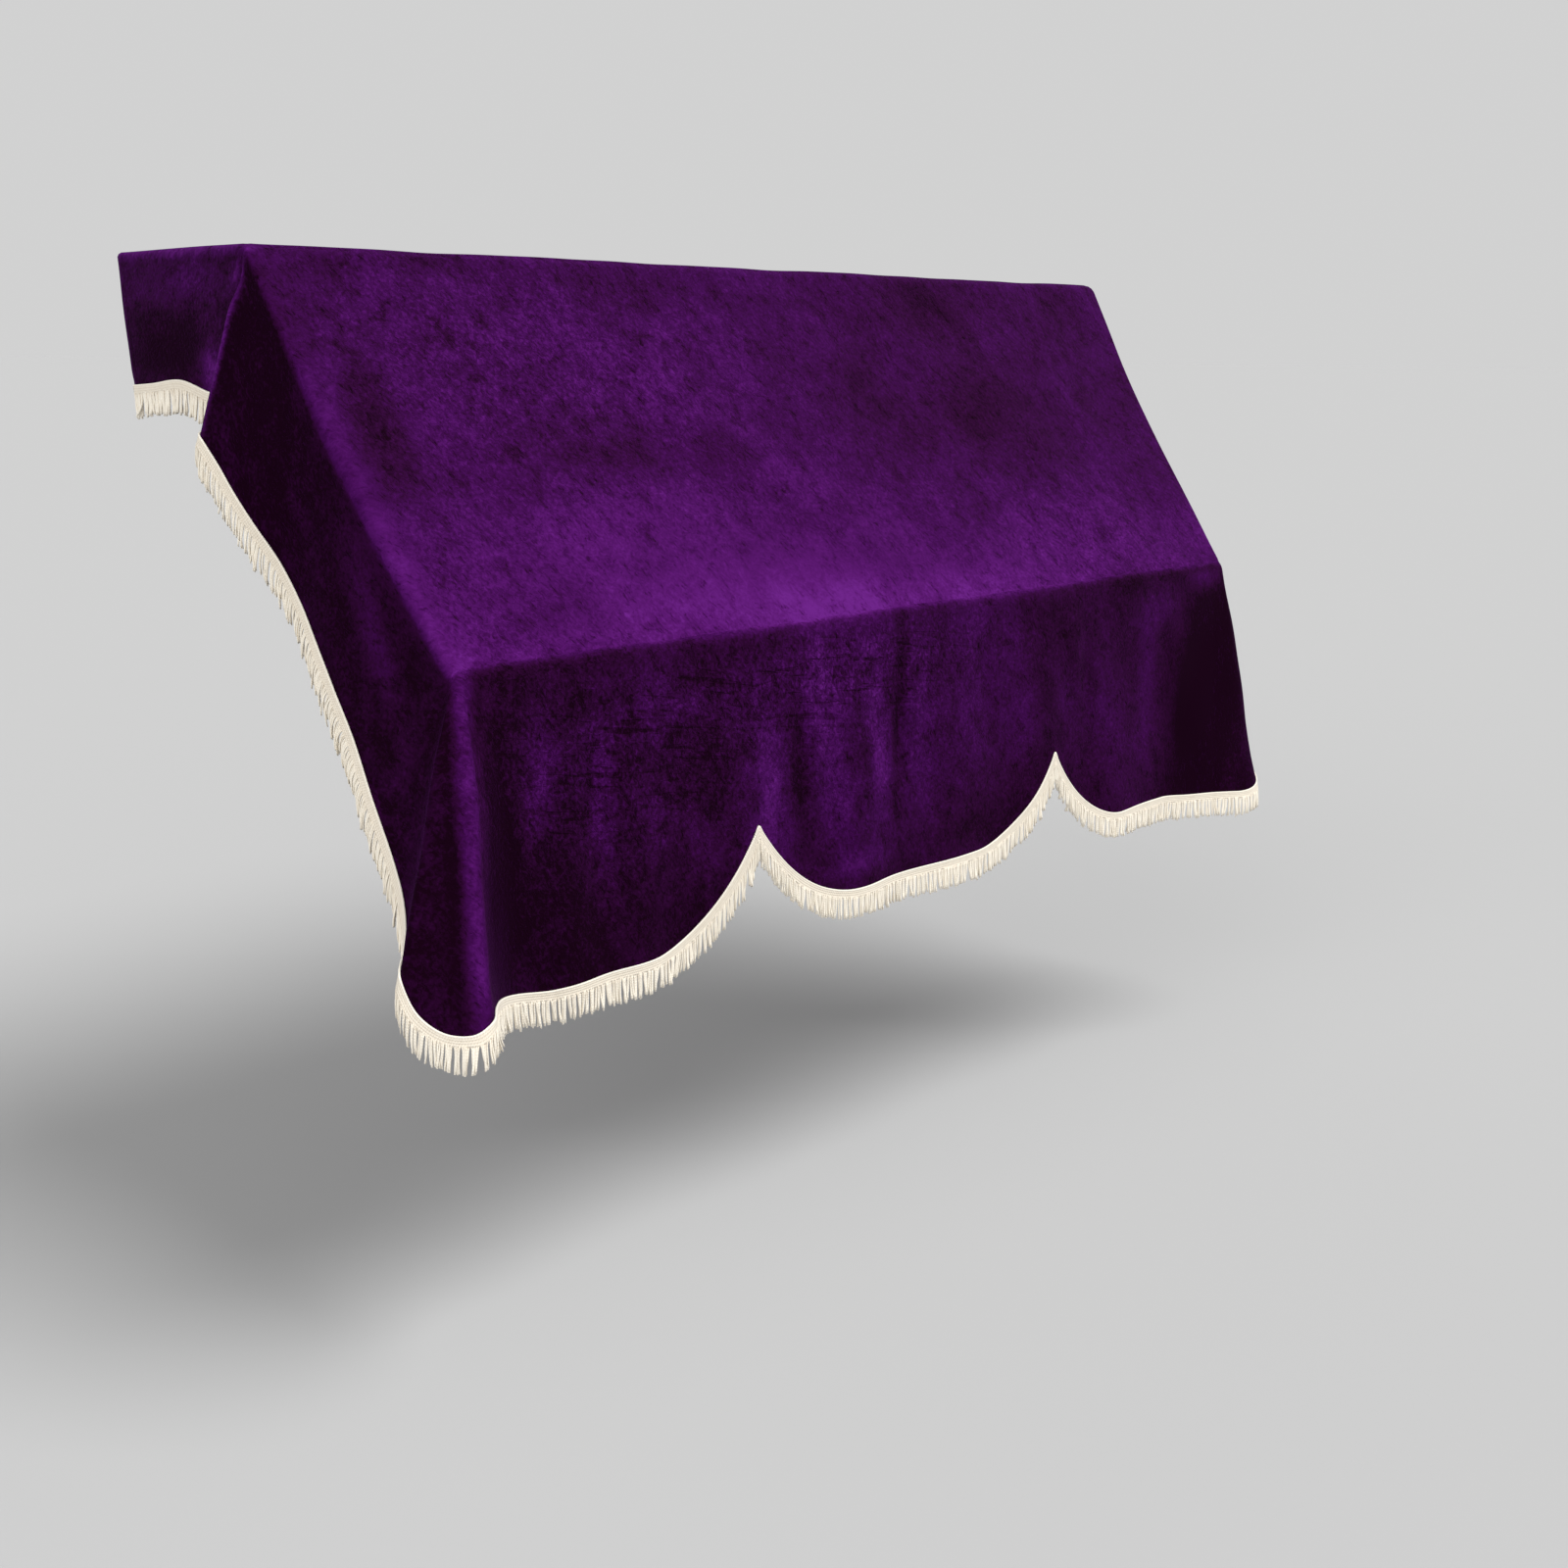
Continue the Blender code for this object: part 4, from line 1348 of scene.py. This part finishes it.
def hem_frame(step):
    """The hem at equal steps: the braid's upper edge, its lower edge, outward normal and distance.

    The normal is the cross product of the way down the band and the way along it.
    """
    top, low = skirt[len(hang_shares) - 1], skirt[-1]
    steps = length(np.diff(low, axis=0)) * 0.5 + length(np.diff(top, axis=0)) * 0.5
    run = np.append(0, np.cumsum(steps))
    at = np.linspace(0, run[-1], round(run[-1] / step) + 1)
    number = np.interp(at, run, np.arange(len(run)))
    top, low = row_curve(top, number), row_curve(low, number)
    ahead = np.gradient((top + low) / 2, axis=0)
    return top, low, unit(np.cross(low - top, ahead)), at


hem_top, hem_low, hem_out, hem_at = hem_frame(BRAID_STEP)
print("the hem is", round(hem_at[-1], 2), "m long")

# %% Shape of the braid
BRAID_THICK = 0.0020
BRAID_GAP = 0.0003
BRAID_SECTION = (
    # share of the way down, share of the thickness outwards
    (-0.04, 0.30),
    (-0.03, 0.85),
    (0.05, 1.15),
    (0.14, 0.92),
    (0.25, 0.85),
    (0.50, 0.90),
    (0.75, 0.85),
    (0.88, 0.95),
    (0.97, 0.80),
    (1.00, 0.40),
    (0.98, 0.02),
    (0.50, 0.00),
    (0.02, 0.02),
)


def braid_mesh():
    """The braid's section carried along the hem as a closed tube, with one face over each end.

    A point of the tube is top + (low - top) * down + normal * lift, where the section gives down
    and how much of the thickness the lift takes beyond the cloth and the gap.
    """
    down, out = np.array(BRAID_SECTION).T[:, None, :, None]
    lift = CLOTH_THICK / 2 + BRAID_GAP + out * BRAID_THICK
    ring = hem_top[:, None] * (1 - down) + hem_low[:, None] * down + hem_out[:, None] * lift
    ring[..., 2] += CLOTH_THICK / 2
    corner = np.arange(ring[..., 0].size).reshape(ring.shape[:2])
    after = np.roll(corner, -1, axis=1)
    walls = np.stack([corner[:-1], corner[1:], after[1:], after[:-1]], axis=-1).reshape(-1, 4)
    mesh = bpy.data.meshes.new("braid")
    ends = [corner[0].tolist(), corner[-1, ::-1].tolist()]
    mesh.from_pydata(ring.reshape(-1, 3), [], walls.tolist() + ends)
    places = np.stack(np.broadcast_arrays(hem_at[:, None], BRAID_DEEP * down[..., 0]), axis=-1)
    set_uv(mesh, "band", places.reshape(-1, 2))
    shape = bmesh.new()
    shape.from_mesh(mesh)
    bmesh.ops.recalc_face_normals(shape, faces=shape.faces)
    shape.to_mesh(mesh)
    shape.free()
    return mesh


print("the braid is", round(BRAID_DEEP * 1000), "mm deep and", BRAID_THICK * 1000, "mm thick")

# %% [markdown]
# The weave is too fine to be geometry. Slanting picks and straight courses are two sine waves, whose
# sum colours the cream and raises it. The upper edge has a smooth cord instead, painted lighter as a
# highlight.

# %% Braid
PICK_PITCH = 0.0030
PICK_SLANT = 0.6
COURSE_PITCH = 0.0028
# where the cord's painted highlight starts and ends, measured down the band
CORD_HIGHLIGHT_ENDS = (0.0024, 0.0012)
WEAVE_DEEP = 0.0006
BRAID_LIGHT = 0.28
BRAID_SHADER = {"Specular IOR Level": 0.25, "Sheen Weight": 0.2}
UNEVEN_WEAVE = (120.0, 3.0, 0.6)
CREAM_SHADE = (0.47, 0.38, 0.27, 1.0)
CREAM = (0.865, 0.805, 0.695, 1.0)


def braid_finish():
    """Cream weave: slanting picks on the band, and a smooth cord along its upper edge with a painted
    highlight.
    """
    finish = Finish("cream_braid", BRAID_SHADER)
    band = finish.uv("band")
    along, down = finish.parts(band)
    weave = (along + down * PICK_SLANT).ribs(PICK_PITCH) * 0.5 + down.ribs(COURSE_PITCH) * 0.5
    uneven = finish.noise(band, *UNEVEN_WEAVE)
    # the cord's step paints a highlight along the upper edge
    light = weave * 0.35 + uneven * 0.35 + down.step(*CORD_HIGHLIGHT_ENDS) * 0.45 + BRAID_LIGHT
    finish.use(
        Base_Color=finish.blend(light, CREAM_SHADE, CREAM),
        Roughness=0.85 - weave * 0.1,
        Normal=finish.bump(weave + uneven * 0.4, WEAVE_DEEP),
    )
    return finish


braid = add_piece("braid", braid_mesh(), "fringe", "fringe_trim", braid_finish())
print("braid:", len(braid.data.polygons), "faces")

# %% [markdown]
# ## The fringe
#
# The yarns are far too many to place by hand, but they follow one rule. Each starts inside the
# braid's lower edge, goes down with the hem for a moment and then turns to hang straight. Neighbours
# cling together, so that bundles of a few yarns form with dark slits between them. Hair could be
# grown on the braid, but an export keeps only meshes. So all yarns are one array of points, with no
# loop over them. Nothing repeats exactly: widths, lengths, lean and curl come from a seeded random
# generator.

# %% Draw what differs from yarn to yarn
YARN_STEP = 0.00185
YARN_SEED = 11
STRAND_LONG = 0.029
BUNDLE_WIDE = 0.0068
BUNDLE_SPREAD = (0.4, 1.6)
# more bundles than the hem has room for, so that they don't run out
BUNDLE_SPARE = 1.3
# spreads of what the yarns of a bundle share and of what each has alone. Lean and swing are parts
# of the hanging direction. A bundle is longer by metres, and a yarn by a part of its length
LEAN = (0.060, 0.030)
SWING = (0.050, 0.040)
LONGER = (0.001, 0.035)
# the least and the most of what is drawn evenly
SUNK = (0.15, 0.75)
CLING = (0.28, 0.72)
CURLS = (3, 8)


def draw_yarns(at):
    """What differs from yarn to yarn, as a dictionary with a value of each kind for every yarn.

    The draws come in a fixed order from one seed, so the fringe is the same every time. A draw for
    the bundles gives all yarns of a bundle one value.
    """
    random = np.random.default_rng(YARN_SEED)
    spare = int(at[-1] / BUNDLE_WIDE * BUNDLE_SPARE)
    bounds = np.cumsum(random.uniform(*BUNDLE_SPREAD, spare) * BUNDLE_WIDE)
    bundle = np.searchsorted(bounds, at)
    yarns, bundles = len(at), len(bounds) + 1
    drawn = {
        "aside": (np.append(0, bounds)[bundle] + bounds[bundle]) / 2 - at,
        "lean": random.normal(0, LEAN[0], bundles)[bundle] + random.normal(0, LEAN[1], yarns),
        "swing": random.normal(0, SWING[0], bundles)[bundle] + random.normal(0, SWING[1], yarns),
        "long": STRAND_LONG * (1 + random.normal(0, LONGER[1], yarns))
        + random.normal(0, LONGER[0], bundles)[bundle],
        "sunk": random.uniform(*SUNK, yarns),
        "cling": random.uniform(*CLING, bundles)[bundle],
        "phase": random.uniform(0, 2 * math.pi, yarns),
        "curls": random.uniform(*CURLS, yarns),
        "thicker": random.normal(0, 1, yarns),
        "tone": random.uniform(0, 1, yarns),
    }
    return {name: values[:, None, None] for name, values in drawn.items()}


*yarn_edges, yarn_at = hem_frame(YARN_STEP)
drawn = draw_yarns(yarn_at)
shortest, longest = drawn["long"].min(), drawn["long"].max()
print(len(yarn_at), "yarns, from", shortest.round(4), "to", longest.round(4), "m long")

# %% Middle lines of the yarns
GRAVITY_SHARE = 0.75
# how far the yarn starts above the braid's lower edge, and how its pull to the bundle grows
ROOT_UP = 0.002
CLING_GROWS = 0.3
CURL_WIDE = 0.0005
SWAY_WIDE = 0.0006
# the sway's own phase, as a multiple of the curl's, and how far it turns down the yarn
SWAY_PHASE = 1.7
SWAY_TURN = 5.0


def yarn_lines(top, low, out, share):
    """Middle lines of all yarns at shares of their length, and the way ahead along the hem.

    A yarn's middle line is root + length * (s * (1 - s) * the band's way down + s^2 * the hanging
    direction), moved sideways to its bundle by a share that grows with s^0.3, and by a small sine
    curl. A small cosine sways it outwards.
    """
    down = unit(low - top)
    ahead = unit(np.gradient(low, axis=0))
    hang = GRAVITY_SHARE * np.array([0, 0, -1.0]) + (1 - GRAVITY_SHARE) * down
    hang = unit(hang + ahead * drawn["lean"] + out * drawn["swing"])
    lift = CLOTH_THICK / 2 + BRAID_GAP + drawn["sunk"] * BRAID_THICK
    middle = low - down * ROOT_UP + out * lift
    middle = middle + drawn["long"] * (share * (1 - share) * down + share * share * hang)
    aside = drawn["aside"] * drawn["cling"] * share**CLING_GROWS
    aside += CURL_WIDE * np.sin(drawn["phase"] + share * drawn["curls"]) * share
    sway = SWAY_WIDE * np.cos(drawn["phase"] * SWAY_PHASE + share * SWAY_TURN) * share
    return middle + ahead * aside + out * sway, ahead


tips = yarn_lines(*(edge[:, None] for edge in yarn_edges), 1.0)[0]
print("the lowest yarn ends at", tips[..., 2].min().round(3), "m")

# %% Rings round the yarns
YARN_RADIUS = 0.00108
YARN_SIDES = 6
YARN_RINGS = 7
THICKER = 0.10


def yarn_points():
    """Rings of points round the middle lines: yarn, ring, side, xyz.

    A ring is middle + radius * (cos(turn) * ahead + sin(turn) * outwards).
    """
    top, low, out = (edge[:, None] for edge in yarn_edges)
    share = np.linspace(0, 1, YARN_RINGS)[None, :, None]
    middle, ahead = yarn_lines(top, low, out, share)
    radius = YARN_RADIUS * (1 + THICKER * drawn["thicker"] + THICKER * share)
    turn = (np.arange(YARN_SIDES) / YARN_SIDES * 2 * math.pi)[:, None]
    points = middle[:, :, None] + radius[..., None] * (
        np.cos(turn) * ahead[:, :, None] + np.sin(turn) * out[:, :, None]
    )
    points[..., 2] += CLOTH_THICK / 2
    return points


yarns = yarn_points()
print("rings of the yarns:", yarns.shape)


# %% Mesh of the yarns
def tube_quads(count, rings, sides):
    """Quads of many tubes of six-sided rings, with two quads over each end."""
    at = np.arange(count * rings * sides).reshape(count, rings, sides)
    after = np.roll(at, -1, axis=2)
    walls = np.stack([at[:, :-1], after[:, :-1], after[:, 1:], at[:, 1:]], axis=-1)
    ends = [at[:, -1, :4], at[:, -1, [0, 3, 4, 5]], at[:, 0, 3::-1], at[:, 0, [5, 4, 3, 0]]]
    return np.concatenate([walls.reshape(-1, 4), *ends])


def yarn_mesh(name, points, tones):
    """One mesh of many yarns. Its uv map holds the share down the yarn and the yarn's tone.

    touching is (1 + cos(2 * turn)) / 2 round a ring: 1 on the two sides that face the neighbouring
    yarns, and 0 between them.
    """
    shape = points.shape[:3]
    mesh = bpy.data.meshes.new(name)
    mesh.from_pydata(points.reshape(-1, 3), [], tube_quads(*shape))
    share = np.linspace(0, 1, shape[1])[None, :, None]
    places = [np.broadcast_to(part, shape) for part in (share, tones)]
    set_uv(mesh, "yarn", np.stack(places, axis=-1).reshape(-1, 2))
    touching = np.cos(np.arange(shape[2]) / shape[2] * 4 * math.pi) * 0.5 + 0.5
    set_numbers(mesh, "touching", np.broadcast_to(touching, shape))
    return mesh


print("one yarn has", len(tube_quads(1, YARN_RINGS, YARN_SIDES)), "quads")

# %% [markdown]
# A bundle reads as single yarns because little light gets between them. So the finish darkens each
# yarn on the sides that touch its neighbours, and a little where it leaves the braid.

# %% Yarn finish
YARN_SHADER = {"Specular IOR Level": 0.2, "Sheen Weight": 0.3, "Sheen Roughness": 0.4}
YARN_LIGHT = 0.74
ROOT_STEP = (-0.1, 0.40)
TOUCHING_DARKER = 0.66
# the twist is a sine of the share down the yarn, in radians, and shifted from yarn to yarn
TWIST = 60.0
TWIST_SHIFT = 40.0
TWIST_DEEP = 0.0002


def yarn_finish():
    """Cream yarn: darker at the braid and at its neighbours, with its own tone and a twist."""
    finish = Finish("cream_yarn", YARN_SHADER)
    share, tone = finish.parts(finish.uv("yarn"))
    light = share.step(*ROOT_STEP) * 0.35 + tone * 0.25 + YARN_LIGHT
    light = light - finish.attribute("touching") * TOUCHING_DARKER
    twist = (share * TWIST + tone * TWIST_SHIFT).ribs(2 * math.pi)
    finish.use(
        Base_Color=finish.blend(light, CREAM_SHADE, CREAM),
        Roughness=0.9 - tone * 0.1,
        Normal=finish.bump(twist, TWIST_DEEP),
    )
    return finish


cream_yarn = yarn_finish()
print("the yarn finish has", len(cream_yarn.tree.nodes), "nodes")

# %% [markdown]
# The fringe is cut into three pieces, because one mesh of so many yarns would be too heavy.

# %% Cut the fringe
FRINGE_NAMES = ("fringe_left", "fringe_front", "fringe_right")
for number, name in enumerate(FRINGE_NAMES):
    span = slice(*(round(k / len(FRINGE_NAMES) * len(yarns)) for k in (number, number + 1)))
    mesh = yarn_mesh(name, yarns[span], drawn["tone"][span])
    add_piece(name, mesh, "fringe", "fringe_trim", cream_yarn)
    print(name, len(yarns[span]), "yarns,", len(mesh.polygons) * 2, "triangles")

# %% [markdown]
# ## The sheet's own facts
#
# The size the sheet was cut to is worked out here. The flat outline is known from the flat places,
# so its area is the shoelace formula on the hem and the back edge.

outline = skirt_flat[-1]
after = np.roll(outline, -1, axis=0)
flat_area = float(abs(np.sum(outline[:, 0] * after[:, 1] - after[:, 0] * outline[:, 1])) / 2)
flat_wide = float(outline[:, 0].max() - outline[:, 0].min())

# %% [markdown]
